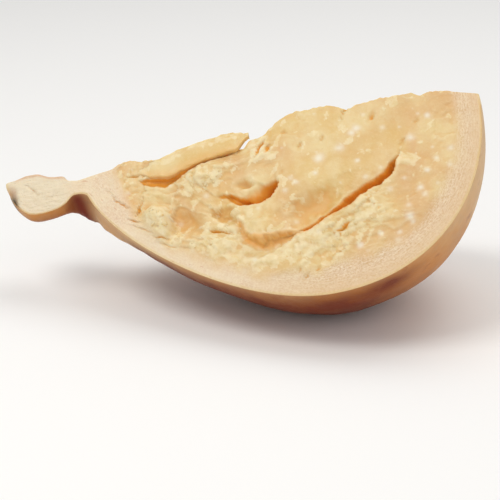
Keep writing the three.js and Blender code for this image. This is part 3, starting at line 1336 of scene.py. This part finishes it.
@dataclass
class Shard:
    """The long flake of the front face that stands up at the ridge over its own crack.

    A section is a flattened oval in the plane of the face: its half width is half the gap between
    the top and low lines, and it gets thinner towards the top edge.
    """

    form: Form
    sections: int = 170
    rows: int = 64
    squareness: float = 0.33  # power on the oval's sine and cosine; less is squarer
    top_thinness: float = 0.30
    thinnest: float = 0.5  # the least half width, at the ends
    seed: int = 401

    TOP = (
        (27, -2), (33.6, -4.6), (40, -2.6), (47.3, -3.4), (56.2, -6.0), (65, -7.4), (73.2, -8.5),
        (81.4, -9.4), (87.8, -9.2), (92.1, -8.4), (95.8, -7.2),
    )
    LOW = (
        (27, 1), (33, 2.4), (38, 5.2), (42.3, 7.0), (50.2, 9.0), (55, 8.5), (60, 7.0), (63.8, 5.9),
        (71, 4.0), (78.2, 2.9), (83, 2.3), (88.9, 1.5), (92, -0.9), (93.8, -3.0), (95.8, -4.9),
    )
    THICKNESS = ((27, 2), (36, 5), (60, 5), (80, 4.6), (90, 3.8), (96, 3))
    HEIGHT = ((27, -4.5), (36, -3.0), (44, -1.8), (60, -1.4), (80, -1.3), (96, -0.6))

    def build(self) -> bpy.types.Object:
        """Works out the flake and makes its mesh.

        Returns:
            The object.
        """
        chance, fine = Chance(self.seed), Chance(self.seed + 1)
        eased = 0.5 - 0.5 * np.cos(np.pi * np.linspace(0.02, 0.995, self.sections))
        start, end = self.TOP[0][0], self.TOP[-1][0]
        x = columns(start + (end - start) * eased, self.rows)
        turn = np.linspace(0, 2 * math.pi, self.rows, endpoint=False)
        cos, sin = self._squared(np.cos(turn)), self._squared(np.sin(turn))
        top, low = self._edges(x, chance)
        middle, half = (top + low) / 2, np.maximum((low - top) / 2, self.thinnest)
        down = middle - half * cos
        inward = 1 - ramp(-1.0, 0.7, cos) * (1 - self.top_thinness)
        thick = soft_line(self.THICKNESS, x, 3) / 2 * inward
        swell = 0.4 * chance.layers(x, down, 24, 2) + 0.22 * fine.layers(x * 0.4, down, 3, 3)
        lift = self.form.cut_offset + soft_line(self.HEIGHT, x, 3)
        points = on_face(Side.FRONT, x, down, lift + thick * sin + swell)
        ends = tuple(self.form.lay(points[row].mean(0)) for row in (0, -1))
        made = closed_grid("shard", self.form.lay(points), ends)
        rough = ramp(50, 34, x) * ramp(0.3, 0.7, chance.layers(x, down, 5, 3) + 0.5)
        from_middle = (down - middle) / half
        streaks = ramp(-0.1, 0.5, fine.layers(0.22 * x, down, 1.8, 3))
        upper = ramp(0.1, -0.7, from_middle) * (0.35 + 0.5 * streaks)
        put_mark(made, "flake", clipped(rough + upper + 0.25 * streaks))
        # Painted shade on the flake's lower half.
        put_mark(made, "low", 0.75 * ramp(-0.1, 0.95, from_middle))
        return made

    def _squared(self, value: Array) -> Array:
        """A sine or cosine raised to the squareness, with its sign kept."""
        return np.sign(value) * np.abs(value) ** self.squareness

    def _edges(self, x: Array, chance: Chance) -> tuple[Array, Array]:
        """The flake's top and low edges, which get more ragged towards its free tip."""
        loose = 0.5 + 0.6 * ramp(82, 92, x)
        top, low = (
            soft_line(line, x, 0.9) + loose * chance.layers(x, np.full_like(x, shift), 5, 4)
            for line, shift in ((self.TOP, 0), (self.LOW, 30))
        )
        return top, low


@dataclass
class Crumbs:
    """Small crumbs half sunk in the rough parts of the front face, each a knobbly little ball.

    The ball is an icosahedron whose corners are pushed in and out at random.
    """

    form: Form
    skin: Skin
    seed: int = 501
    count: int = 56
    smallest: float = 0.6
    largest: float = 2.2
    crowding: float = 2.2  # power on the even draw of sizes; more makes most of them small
    stretch: tuple[float, float, float] = (1.0, 0.8, 0.65)
    uneven: tuple[float, float] = (0.6, 1.3)  # the nearest and furthest corner
    standing: float = -0.3  # how far the middle stands off the surface, as a share of the size

    def build(self) -> bpy.types.Object:
        """Scatters the crumbs, more of them the rougher the place, and makes one mesh of them.

        Returns:
            The object.
        """
        draw = np.random.default_rng(self.seed)
        front = self.skin.front
        chance = self._chances(front.shape[1])
        picked = draw.choice(chance.size, self.count, p=(chance / chance.sum()).ravel())
        share = draw.uniform(0, 1, self.count) ** self.crowding
        size = self.smallest + (self.largest - self.smallest) * share
        ball = self._ball()
        shape = ball * draw.uniform(*self.uneven, (self.count, len(ball), 1))
        shape = shape * np.array(self.stretch) * size[:, None, None]
        shape = np.einsum("nij,nkj->nki", self._turns(draw), shape)
        normal = np.concatenate([[0.0], Side.FRONT.outward()])
        # The crumbs' undersides, which get painted shade through the low mark.
        lower = ramp(0.5, -0.5, shape @ normal / size[:, None])
        middle = front.reshape(-1, 3)[picked] + normal * (size * self.standing)[:, None]
        corners = self.form.lay((shape + middle[:, None]).reshape(-1, 3))
        first = len(ball) * np.arange(self.count)
        faces = (self._ball_faces() + first[:, None, None]).reshape(-1, 3)
        mesh = bpy.data.meshes.new("crumbs")
        mesh.from_pydata(corners.tolist(), [], faces.tolist())
        mesh.polygons.foreach_set("use_smooth", np.ones(len(faces), bool))
        made = linked("crumbs", mesh)
        # Chalky colour on the upper sides, painted shade on the undersides.
        put_mark(made, "flake", 0.6 * (1 - lower))
        put_mark(made, "low", lower)
        return made

    def _chances(self, rows: int) -> Array:
        """How likely each place of the front face is to hold a crumb."""
        crumb, deep = (self.skin.marks[name][:, :rows] for name in ("crumb", "deep"))
        return ramp(0.45, 0.95, crumb) * (1 - ramp(0.3, 0.6, deep)) + TINY

    def _turns(self, draw: np.random.Generator) -> Array:
        """Random turns, one matrix each, from four normal numbers scaled to a unit quaternion."""
        four = draw.normal(size=(self.count, 4))
        w, x, y, z = (four / np.linalg.norm(four, axis=1, keepdims=True)).T
        rows = (
            (1 - 2 * (y * y + z * z), 2 * (x * y - z * w), 2 * (x * z + y * w)),
            (2 * (x * y + z * w), 1 - 2 * (x * x + z * z), 2 * (y * z - x * w)),
            (2 * (x * z - y * w), 2 * (y * z + x * w), 1 - 2 * (x * x + y * y)),
        )
        return np.moveaxis(np.array(rows), -1, 0)

    @staticmethod
    def _ball() -> Array:
        """An icosahedron's corners: two rings of five between two poles, on a unit sphere."""
        up = 1 / math.sqrt(5)
        ring = np.arange(5) * 2 * math.pi / 5
        upper, lower = (
            np.stack([2 * up * np.cos(turn), 2 * up * np.sin(turn), np.full(5, level)], -1)
            for turn, level in ((ring, up), (ring + math.pi / 5, -up))
        )
        return np.concatenate([[[0, 0, 1]], upper, lower, [[0, 0, -1]]])

    @staticmethod
    def _ball_faces() -> Array:
        """An icosahedron's twenty faces, outwards, as numbers of its corners."""
        ring = np.arange(5)
        after = (ring + 1) % 5
        north, south = np.zeros(5, int), np.full(5, 11)
        upper, upper_after, lower, lower_after = 1 + ring, 1 + after, 6 + ring, 6 + after
        faces = (
            (north, upper, upper_after), (upper, lower, upper_after),
            (upper_after, lower, lower_after), (south, lower_after, lower),
        )
        return np.concatenate([np.stack(face, -1) for face in faces])


# ---- meshes ------------------------------------------------------------------------------------


def linked(name: str, data: bpy.types.ID) -> bpy.types.Object:
    """A new object in the scene.

    Args:
        name: Its name.
        data: Its mesh, lamp or camera.

    Returns:
        The object.
    """
    made = bpy.data.objects.new(name, data)
    bpy.context.scene.collection.objects.link(made)
    return made


def closed_grid(name: str, points: Array, poles: tuple[Array, Array]) -> bpy.types.Object:
    """A mesh of sections by rows, closed round each loop and at both ends by a pole.

    Args:
        name: The object's name.
        points: Places as sections by rows by 3, in metres, rows running anticlockwise as seen
            from the far end of the axis.
        poles: The single points that close the first and the last section.

    Returns:
        The object, linked to the scene.
    """
    sections, rows, _ = points.shape
    vertices = np.concatenate([points.reshape(-1, 3), np.stack(poles)])
    index = np.arange(sections * rows).reshape(sections, rows)
    after = np.roll(index, -1, axis=1)
    quads = np.stack([index[:-1], after[:-1], after[1:], index[1:]], -1).reshape(-1, 4)
    first, last = sections * rows, sections * rows + 1
    start = np.stack([np.full(rows, first), after[0], index[0]], -1)
    end = np.stack([np.full(rows, last), index[-1], after[-1]], -1)
    corners = np.concatenate([quads.ravel(), start.ravel(), end.ravel()])
    sizes = np.concatenate([np.full(len(quads), 4), np.full(2 * rows, 3)])
    starts = np.cumsum(sizes) - sizes
    mesh = bpy.data.meshes.new(name)
    mesh.vertices.add(len(vertices))
    mesh.vertices.foreach_set("co", vertices.astype(np.float32).ravel())
    mesh.loops.add(len(corners))
    mesh.loops.foreach_set("vertex_index", corners.astype(np.int32))
    mesh.polygons.add(len(sizes))
    mesh.polygons.foreach_set("loop_start", starts.astype(np.int32))
    mesh.polygons.foreach_set("use_smooth", np.ones(len(sizes), bool))
    mesh.update(calc_edges=True)
    mesh.validate()
    return linked(name, mesh)


def put_mark(made: bpy.types.Object, name: str, values: Array) -> None:
    """Stores one value for each vertex under a name, for the materials to read; poles get 0."""
    attribute = made.data.attributes.new(name, "FLOAT", "POINT")
    full = np.zeros(len(made.data.vertices), np.float32)
    full[: values.size] = values.ravel()
    attribute.data.foreach_set("value", full)


def put_places(made: bpy.types.Object, name: str, values: Array) -> None:
    """Stores one vector for each vertex under a name, for the materials to read."""
    attribute = made.data.attributes.new(name, "FLOAT_VECTOR", "POINT")
    full = np.zeros((len(made.data.vertices), 3), np.float32)
    flat = values.reshape(-1, 3)
    full[: len(flat)] = flat
    attribute.data.foreach_set("vector", full.ravel())


# ---- shader graphs -----------------------------------------------------------------------------


class Wire:
    """A shader socket that can be reckoned with: an expression on it adds Math nodes."""

    def __init__(self, graph: "Graph", socket: bpy.types.NodeSocket) -> None:
        """Wraps a socket.

        Args:
            graph: The graph that new nodes go into.
            socket: The output socket that the wire starts from.
        """
        self.graph = graph
        self.socket = socket

    def __add__(self, other: "Wire | float") -> "Wire":
        """The sum."""
        return self.graph.maths("ADD", self, other)

    def __radd__(self, other: float) -> "Wire":
        """The sum, from the right."""
        return self.graph.maths("ADD", other, self)

    def __sub__(self, other: "Wire | float") -> "Wire":
        """The difference."""
        return self.graph.maths("SUBTRACT", self, other)

    def __rsub__(self, other: float) -> "Wire":
        """The difference, from the right."""
        return self.graph.maths("SUBTRACT", other, self)

    def __mul__(self, other: "Wire | float") -> "Wire":
        """The product."""
        return self.graph.maths("MULTIPLY", self, other)

    def __rmul__(self, other: float) -> "Wire":
        """The product, from the right."""
        return self.graph.maths("MULTIPLY", other, self)

    def clipped(self) -> "Wire":
        """The value held between 0 and 1."""
        return self.graph.maths("MINIMUM", self.graph.maths("MAXIMUM", self, 0.0), 1.0)


class Graph:
    """The node tree of one material."""

    def __init__(self, name: str) -> None:
        """Starts a material with nothing but its output.

        Args:
            name: The material's name.
        """
        self.material = bpy.data.materials.new(name)
        self.material.use_nodes = True
        self.tree = self.material.node_tree
        self.tree.nodes.clear()

    def node(self, kind: str, settings: dict | None = None, **sockets: object) -> bpy.types.Node:
        """Adds a node.

        Args:
            kind: The node's type.
            settings: Its properties, set first; stops are a colour ramp's (place, colour) pairs.
            **sockets: Values or wires for its inputs, by name with _ for a space, or by number
                as in_0.

        Returns:
            The node.
        """
        made = self.tree.nodes.new(kind)
        for key, value in (settings or {}).items():
            if key == "stops":
                self._set_stops(made.color_ramp, value)
            else:
                setattr(made, key, value)
        for key, value in sockets.items():
            numbered = key.startswith("in_")
            target = made.inputs[int(key[3:]) if numbered else key.replace("_", " ")]
            if isinstance(value, Wire):
                self.tree.links.new(value.socket, target)
            else:
                target.default_value = value
        return made

    @staticmethod
    def _set_stops(color_ramp: bpy.types.ColorRamp, stops: list[tuple[float, Colour]]) -> None:
        """Gives a ramp its stops."""
        for _ in range(len(stops) - 2):
            color_ramp.elements.new(0.5)
        for element, (place, colour) in zip(color_ramp.elements, stops):
            element.position = place
            element.color = colour

    def wire(self, made: bpy.types.Node, output: int | str = 0) -> Wire:
        """A wire from one of a node's outputs."""
        return Wire(self, made.outputs[output])

    def maths(self, operation: str, first: Wire | float, second: Wire | float) -> Wire:
        """A Math node on two values."""
        return self.wire(
            self.node("ShaderNodeMath", {"operation": operation}, in_0=first, in_1=second)
        )

    def mark(self, name: str) -> Wire:
        """The value stored under a name at each vertex."""
        return self.wire(self.node("ShaderNodeAttribute", {"attribute_name": name}), "Fac")

    def places(self, name: str) -> Wire:
        """The vector stored under a name at each vertex."""
        return self.wire(self.node("ShaderNodeAttribute", {"attribute_name": name}), "Vector")

    def blend(self, share: Wire | float, first: Wire | Colour, second: Wire | Colour) -> Wire:
        """A colour between two: the first at share 0 and the second at 1."""
        made = self.node(
            "ShaderNodeMix", {"data_type": "RGBA"}, in_0=share, in_6=first, in_7=second
        )
        return self.wire(made, 2)

    def coats(self, base: Wire | Colour, *coats: tuple[Wire, Wire | Colour]) -> Wire:
        """A colour with more colours over it, each laid on by its own share.

        Args:
            base: The colour at the bottom.
            *coats: The share and the colour of each coat, in order.

        Returns:
            The colour.
        """
        for share, colour in coats:
            base = self.blend(share, base, colour)
        return base

    def between(self, value: Wire, low: float, high: float) -> Wire:
        """A smooth share: 0 at low, 1 at high."""
        made = self.node(
            "ShaderNodeMapRange", {"interpolation_type": "SMOOTHSTEP"},
            Value=value, From_Min=low, From_Max=high, To_Min=0.0, To_Max=1.0,
        )
        return self.wire(made)

    def noise(self, vector: Wire, scale: float, detail: float = 3.0, rough: float = 0.5) -> Wire:
        """Cloudy unevenness from 0 to 1 on a vector."""
        made = self.node(
            "ShaderNodeTexNoise", None, Vector=vector, Scale=scale, Detail=detail, Roughness=rough
        )
        return self.wire(made, 0)

    def stretched(self, vector: Wire, scale: tuple[float, float, float]) -> Wire:
        """A vector scaled by its own amount along each direction."""
        return self.wire(self.node("ShaderNodeMapping", None, Vector=vector, Scale=scale))

    def bump(self, height: Wire, depth: float, strength: float) -> Wire:
        """A Bump node.

        Args:
            height: The heights.
            depth: How many metres a height of 1 stands up.
            strength: How much of the bump shows, from 0 to 1.

        Returns:
            The normal.
        """
        return self.wire(
            self.node("ShaderNodeBump", None, Height=height, Distance=depth, Strength=strength)
        )

    def here(self) -> Wire:
        """The place on the piece."""
        return self.wire(self.node("ShaderNodeTexCoord"), "Object")

    def finish(self, **sockets: object) -> bpy.types.Material:
        """Joins a Principled shader to the material's output.

        Args:
            **sockets: Values or wires for the shader's inputs, as for any node.

        Returns:
            The material.
        """
        shader = self.node(
            "ShaderNodeBsdfPrincipled", {"subsurface_method": "RANDOM_WALK"}, **sockets
        )
        self.node("ShaderNodeOutputMaterial", None, Surface=self.wire(shader))
        return self.material


@dataclass(frozen=True)
class Clouds:
    """The unevenness that the paste's colours share, in three sizes."""

    here: Wire  # the place on the cheese
    cloud: Wire  # patches of a finger's width
    fleck: Wire  # flecks of a few millimetres
    dust: Wire  # and specks of a millimetre


@dataclass(frozen=True)
class Paste:
    """The inside of the cheese: pale straw, golden where it broke smoothly."""

    golden: Colour = paint(225, 190, 121)
    straw: Colour = paint(231, 206, 150)
    cream: Colour = paint(241, 224, 182)
    # Painted warm shade, laid in small hollows and on the undersides of crumbs and the flake.
    amber: Colour = paint(230, 178, 102)
    blush: Colour = paint(222, 178, 132)
    band: Colour = paint(228, 196, 152)
    band_light: Colour = paint(243, 226, 200)
    band_dark: Colour = paint(212, 174, 130)
    tear: Colour = paint(206, 146, 104)
    neck: Colour = paint(238, 220, 188)
    # Painted glow in cracks, holes and hollows, and painted shade at their deepest.
    hollow: Colour = paint(234, 166, 66)
    core: Colour = paint(212, 124, 34)
    crystal: Colour = paint(243, 234, 214)
    edge: Colour = paint(236, 208, 146)
    knob: Colour = paint(236, 224, 198)
    mould: Colour = paint(104, 100, 84)
    roughness: float = 0.5
    subsurface: float = 0.4
    depth: float = 0.0019  # metres that light reaches into the paste
    grain_depth: float = 0.0009  # metres that a grain height of 1 stands up

    def dress(self, name: str) -> bpy.types.Material:
        """Makes the material.

        Args:
            name: The material's name.

        Returns:
            The material.
        """
        graph = Graph(name)
        here = graph.here()
        clouds = Clouds(
            here, graph.noise(here, 55, 4), graph.noise(here, 240, 4, 0.6),
            graph.noise(here, 900, 3, 0.6),
        )
        grain = graph.places("grain")
        fibre = graph.noise(graph.stretched(grain, (0.16, 1.5, 1.0)), 1.0, 4, 0.62)
        band = graph.mark("band")
        cut = self._cut_band(graph, clouds, grain, fibre)
        specks = graph.between(graph.noise(here, 420, 2, 0.5), 0.69, 0.74) * band * 0.4
        deep = graph.mark("deep")
        paste = graph.coats(
            self._broken(graph, clouds),
            (band * 0.92, cut),
            (specks, self.band_dark),
            (graph.mark("crystal") * 0.9, self.crystal),
            # Painted glow and shade in cracks, holes and hollows.
            (graph.between(deep, 0.05, 0.4), self.hollow),
            (graph.between(deep, 0.55, 1.0), self.core),
            (graph.mark("pale") * 0.45, self.edge),
            (graph.mark("tan") * 0.75, self.tear),
            (graph.mark("mould") * 0.85, self.mould),
        )

        crumb = graph.mark("crumb")
        height = clouds.fleck * (0.35 + 0.35 * crumb) + 0.35 * clouds.dust + 0.5 * fibre * band
        height = height + 0.5 * clouds.fleck * graph.mark("knob")
        roughness = self.roughness + 0.18 * crumb - 0.12 * graph.between(clouds.cloud, 0.3, 0.7)
        return graph.finish(
            Base_Color=paste, Roughness=roughness, Subsurface_Weight=self.subsurface,
            Subsurface_Scale=self.depth, Subsurface_Radius=(1.0, 0.9, 0.7), IOR=REFRACTION,
            Normal=graph.bump(height, self.grain_depth, 0.7),
        )

    def _broken(self, graph: Graph, clouds: Clouds) -> Wire:
        """The broken paste: golden and rosy where smooth, straw and cream where it flaked.

        Args:
            graph: The graph to build in.
            clouds: The shared unevenness.

        Returns:
            The colour.
        """
        rosy = graph.mark("blush") * 0.62 * graph.between(clouds.cloud, 0.75, 0.35)
        torn = graph.between(graph.mark("flake") + 0.7 * (clouds.fleck - 0.5), 0.2, 0.6)
        chalky = (graph.mark("crumb") * 0.5 + torn * 0.7).clipped()
        # Painted warm shade in the hollows, less where the paste is chalky.
        hollow_shade = graph.mark("low") * (0.65 - 0.4 * chalky)
        smooth = graph.between(clouds.cloud, 0.38, 0.66)
        flaky = graph.blend(graph.between(clouds.fleck, 0.35, 0.65), self.straw, self.cream)
        return graph.coats(
            self.golden,
            (smooth, self.straw),
            (rosy, self.blush),
            (chalky, flaky),
            (graph.between(clouds.dust, 0.5, 0.75) * 0.2, self.cream),
            # Painted highlight on the crests, then painted warm shade in the hollows.
            (graph.mark("crest") * 0.6, self.cream),
            (hollow_shade.clipped(), self.amber),
        )

    def _cut_band(self, graph: Graph, clouds: Clouds, grain: Wire, fibre: Wire) -> Wire:
        """The smooth band: brushed streaks along the belly, paler with small tears at the neck.

        Args:
            graph: The graph to build in.
            clouds: The shared unevenness.
            grain: Places along and across the band.
            fibre: The long streaks on them.

        Returns:
            The colour.
        """
        brushed, knob = graph.mark("brushed"), graph.mark("knob")
        by_neck = 1.0 - brushed
        speck = graph.noise(graph.stretched(grain, (0.8, 1.5, 1.0)), 1.0, 3, 0.7)
        streak = graph.between(0.45 * fibre + 0.55 * speck, 0.38, 0.62)
        flecks = graph.between(clouds.dust, 0.42, 0.6) - 0.5
        streak = (streak - 0.5) * (0.25 + 0.6 * brushed) + (0.66 - 0.12 * brushed) + 0.3 * flecks
        tears = graph.noise(graph.stretched(grain, (0.22, 0.9, 1.0)), 1.0, 3, 0.55)
        tears = graph.between(tears, 0.64, 0.72) * by_neck * (1.0 - knob)
        return graph.coats(
            self.band_dark,
            (streak, self.band_light),
            (0.6 * by_neck * graph.between(clouds.cloud, 0.3, 0.6), self.neck),
            (tears * 0.7, self.tear),
            (graph.between(graph.mark("rim"), 14.0, 0.0) * brushed * 0.7, self.band),
            (knob * 0.7, self.knob),
        )


@dataclass(frozen=True)
class Rind:
    """The waxy natural rind, tan on the body and browner by the neck and the knob."""

    tan: Colour = paint(222, 184, 132)
    amber: Colour = paint(197, 130, 62)
    brown: Colour = paint(148, 74, 28)
    # Rope stain in the groove, and the painted shade that darkens the rind below.
    rope_stain: Colour = paint(112, 34, 6)
    bloom: Colour = paint(232, 208, 168)
    edge: Colour = paint(240, 212, 150)
    mould: Colour = paint(96, 88, 70)
    roughness: float = 0.46
    shine: float = 0.25
    subsurface: float = 0.08
    depth: float = 0.003  # metres that light reaches in
    grain_depth: float = 0.0008  # metres that a grain height of 1 stands up

    def dress(self, name: str) -> bpy.types.Material:
        """Makes the material.

        Args:
            name: The material's name.

        Returns:
            The material.
        """
        graph = Graph(name)
        here = graph.here()
        cloud = graph.noise(here, 22, 5, 0.55)
        mottle = graph.noise(here, 90, 4, 0.6)
        pores = graph.noise(here, 700, 3, 0.6)
        # Brownness, part of which is painted shade lower down.
        low = (graph.mark("brownness") + 0.9 * (cloud - 0.5)).clipped()
        # Painted shade darkening the rind below, with one darker patch.
        dark = (graph.mark("under") + 0.8 * (mottle - 0.5)).clipped()
        base = graph.coats(
            self.tan,
            (graph.between(low, 0.05, 0.6), self.amber),
            (graph.between(low, 0.5, 1.0), self.brown),
            (graph.between(mottle, 0.45, 0.75) * 0.28, self.bloom),
            (graph.between(mottle, 0.45, 0.25) * 0.55, self.brown),
            (dark * 0.92, self.rope_stain),
            (graph.mark("rope"), self.rope_stain),
            (graph.mark("pale") * 0.4, self.edge),
            (graph.mark("mould") * 0.8, self.mould),
        )
        return graph.finish(
            Base_Color=base, Roughness=self.roughness + 0.2 * (mottle - 0.5),
            Subsurface_Weight=self.subsurface, Subsurface_Scale=self.depth,
            Subsurface_Radius=(1.0, 0.7, 0.4), Specular_IOR_Level=self.shine, IOR=REFRACTION,
            Normal=graph.bump(0.6 * mottle + 0.4 * pores, self.grain_depth, 0.5),
        )


# ---- the pieces --------------------------------------------------------------------------------


@dataclass
class Cheese:
    """Builds the pieces of the cheese and dresses them."""

    form: Form = field(default_factory=Form)
    paste: Paste = Paste()
    rind: Rind = Rind()

    def __post_init__(self) -> None:
        """Sets up both faces."""
        self.front = BrokenFace(
            self.form, Side.FRONT, seed=11,
            cracks=(LONG_CRACK, SHARD_CRACK, CAVITY_TAIL) + SMALL_CRACKS, ledges=(LEDGE,),
            scoops=(CAVITY,), swellings=FRONT_SWELLINGS, crumbly=CRUMBLY, calm=CALM,
            chalky=CHALKY, holes=HOLES, crystals=CRYSTALS,
        )
        self.back = BrokenFace(
            self.form, Side.BACK, seed=51, cracks=(BACK_CRACK,), crumbly=BACK_CRUMBLY,
            calm=BACK_CALM, roughness=1.2,
        )
        self.quarter = Quarter(self.form, self.front, self.back)

    def build(self) -> None:
        """Builds every piece and reports it."""
        paste = self.paste.dress("paste")
        rind = self.rind.dress("rind")
        skin = self.quarter.build()
        body = self._body(skin)
        self._settle(body, paste, rind)
        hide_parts(CHEESE_NODE)
        self._settle(Shard(self.form).build(), paste)
        dry_paste = replace(self.paste, subsurface=0.0).dress("dry_paste")
        self._settle(Crumbs(self.form, skin).build(), dry_paste)

    def _body(self, skin: Skin) -> bpy.types.Object:
        """The quarter's mesh with its marks and with its faces shared out to its two materials.

        Args:
            skin: The worked-out surface.

        Returns:
            The object.
        """
        form, points = self.form, skin.points
        poles = tuple(
            form.lay(np.array([place, 0.0, 0.0])) for place in (form.tip, form.body_length)
        )
        body = closed_grid("cheese", form.lay(points), poles)
        x, across, up = points[..., 0], points[..., 1], points[..., 2]
        rim, along = form.rim_distance(x, (np.abs(across) - up) * DIAGONAL)
        marks = skin.marks | self._rind_marks(x, across, up)
        marks |= {"knob": 1 - ramp(-9, 3, x), "brushed": ramp(75, 130, x), "rim": rim}
        for name, values in marks.items():
            put_mark(body, name, values)
        put_places(body, "grain", np.stack([along, rim, np.zeros_like(x)], -1))
        sections, rows = x.shape
        slots = np.tile(skin.is_rind.astype(np.int32), sections - 1)
        slots = np.concatenate([slots, np.ones(2 * rows, np.int32)])
        body.data.polygons.foreach_set("material_index", slots)
        return body

    @staticmethod
    def _rind_marks(x: Array, across: Array, up: Array) -> dict[str, Array]:
        """How brown the rind is, partly painted shade lower down; how dark it is below, a painted
        shade with one darker patch; and where the rope rubbed it.

        Args:
            x: Places along the axis.
            across: Places across it.
            up: Places towards the ridge.

        Returns:
            The marks by name.
        """
        fore, knob = ramp(130, 20, x), ramp(5, -12, x)
        # Browner towards the neck and the knob, and browner lower down as painted shade.
        brownness = 0.10 + 0.12 * fore + 0.45 * ramp(-25, -75, up) + 0.35 * knob
        from_under = np.arctan2(np.abs(across), -up)
        shaded = ramp(1.02, 0.66, from_under) * ramp(185, 130, x) * ramp(12, 36, x)
        bruise = bell(np.hypot((x - 158) / 13, (from_under - 0.78) / 0.09), 1.0) * (across < 0)
        # Painted shade below, on the body and the knob's underside, with one darker patch.
        under = shaded + 0.75 * ramp(1.3, 0.6, from_under) * knob + 0.6 * bruise
        rope = bell(x - 0.5, 6.5) * ramp(2.4, 1.2, from_under)
        return {"brownness": clipped(brownness), "under": clipped(under), "rope": rope}

    @staticmethod
    def _settle(piece: bpy.types.Object, *finishes: bpy.types.Material) -> None:
        """Gives a piece its materials, puts it on its body, and reports it."""
        for finish in finishes:
            piece.data.materials.append(finish)
        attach(piece, ROOT_BODY)
        log.info("%s: %d faces", piece.name, len(piece.data.polygons))


# ---- the studio --------------------------------------------------------------------------------


@dataclass(frozen=True)
class Softbox:
    """A square area lamp, aimed at the cheese."""

    name: str
    place: tuple[float, float, float]
    size: float
    power: float
    colour: tuple[float, float, float] = (1.0, 1.0, 1.0)

    def hang(self, aim: tuple[float, float, float]) -> None:
        """Adds the lamp, turned to look at a point.

        Args:
            aim: The point.
        """
        lamp = bpy.data.lights.new(self.name, "AREA")
        lamp.shape = "SQUARE"
        lamp.size = self.size
        lamp.energy = self.power
        lamp.color = self.colour
        made = linked(self.name, lamp)
        made.location = self.place
        away = np.array(self.place) - np.array(aim)
        flat = math.hypot(away[0], away[1])
        made.rotation_euler = (math.atan2(flat, away[2]), 0, math.atan2(away[0], -away[1]))


@dataclass
class Studio:
    """A pale floor, soft light and the camera."""

    camera_place: tuple[float, float, float] = (0.0483, -0.6914, 0.2966)
    camera_turn: float = math.radians(6.81)
    camera_tilt: float = math.radians(21.3)
    lens: float = 100.8
    sensor: float = 36.0
    clip: tuple[float, float] = (0.01, 50.0)
    sky: float = 0.5
    floor_reach: float = 6.0
    floor_colour: Colour = paint(250, 249, 247)
    floor_roughness: float = 0.8
    aim: tuple[float, float, float] = (-0.03, 0.0, 0.05)
    lamps: tuple[Softbox, ...] = (
        Softbox("key", (-0.55, -0.4, 1.1), 0.55, 5.2, (1.0, 0.985, 0.96)),
        Softbox("fill", (0.7, -1.1, 0.7), 1.3, 3.6),
        Softbox("top", (0.3, 0.5, 1.3), 1.0, 5.5),
    )

    def build(self) -> None:
        """Builds the floor, the lamps, the sky and the camera."""
        self._floor()
        for lamp in self.lamps:
            lamp.hang(self.aim)
        self._sky()
        self._camera()
        bpy.context.scene.view_settings.view_transform = "Standard"

    def _floor(self) -> None:
        """A wide pale floor, one square."""
        reach = self.floor_reach
        mesh = bpy.data.meshes.new("floor")
        corners = [(-reach, -reach, 0), (reach, -reach, 0), (reach, reach, 0), (-reach, reach, 0)]
        mesh.from_pydata(corners, [], [(0, 1, 2, 3)])
        paper = Graph("floor_paper")
        mesh.materials.append(
            paper.finish(Base_Color=self.floor_colour, Roughness=self.floor_roughness)
        )
        floor = linked("floor", mesh)

    def _sky(self) -> None:
        """An even white sky."""
        world = bpy.data.worlds.new("studio_sky")
        world.use_nodes = True
        sky = world.node_tree.nodes["Background"]
        sky.inputs["Color"].default_value = (1.0, 1.0, 1.0, 1.0)
        sky.inputs["Strength"].default_value = self.sky
        bpy.context.scene.world = world

    def _camera(self) -> None:
        """The camera, turned about the upright and tilted down."""
        lens = bpy.data.cameras.new("camera")
        lens.lens = self.lens
        lens.sensor_width = self.sensor
        lens.clip_start, lens.clip_end = self.clip
        camera = linked("camera", lens)
        camera.location = self.camera_place
        camera.rotation_euler = (math.pi / 2 - self.camera_tilt, 0, self.camera_turn)
        bpy.context.scene.camera = camera


def main() -> None:
    """Builds the studio and the cheese."""
    logging.basicConfig(level=logging.INFO, format="%(name)s: %(message)s")
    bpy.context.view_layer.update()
    Studio().build()
    Cheese().build()


if __name__ == "__main__":
    main()
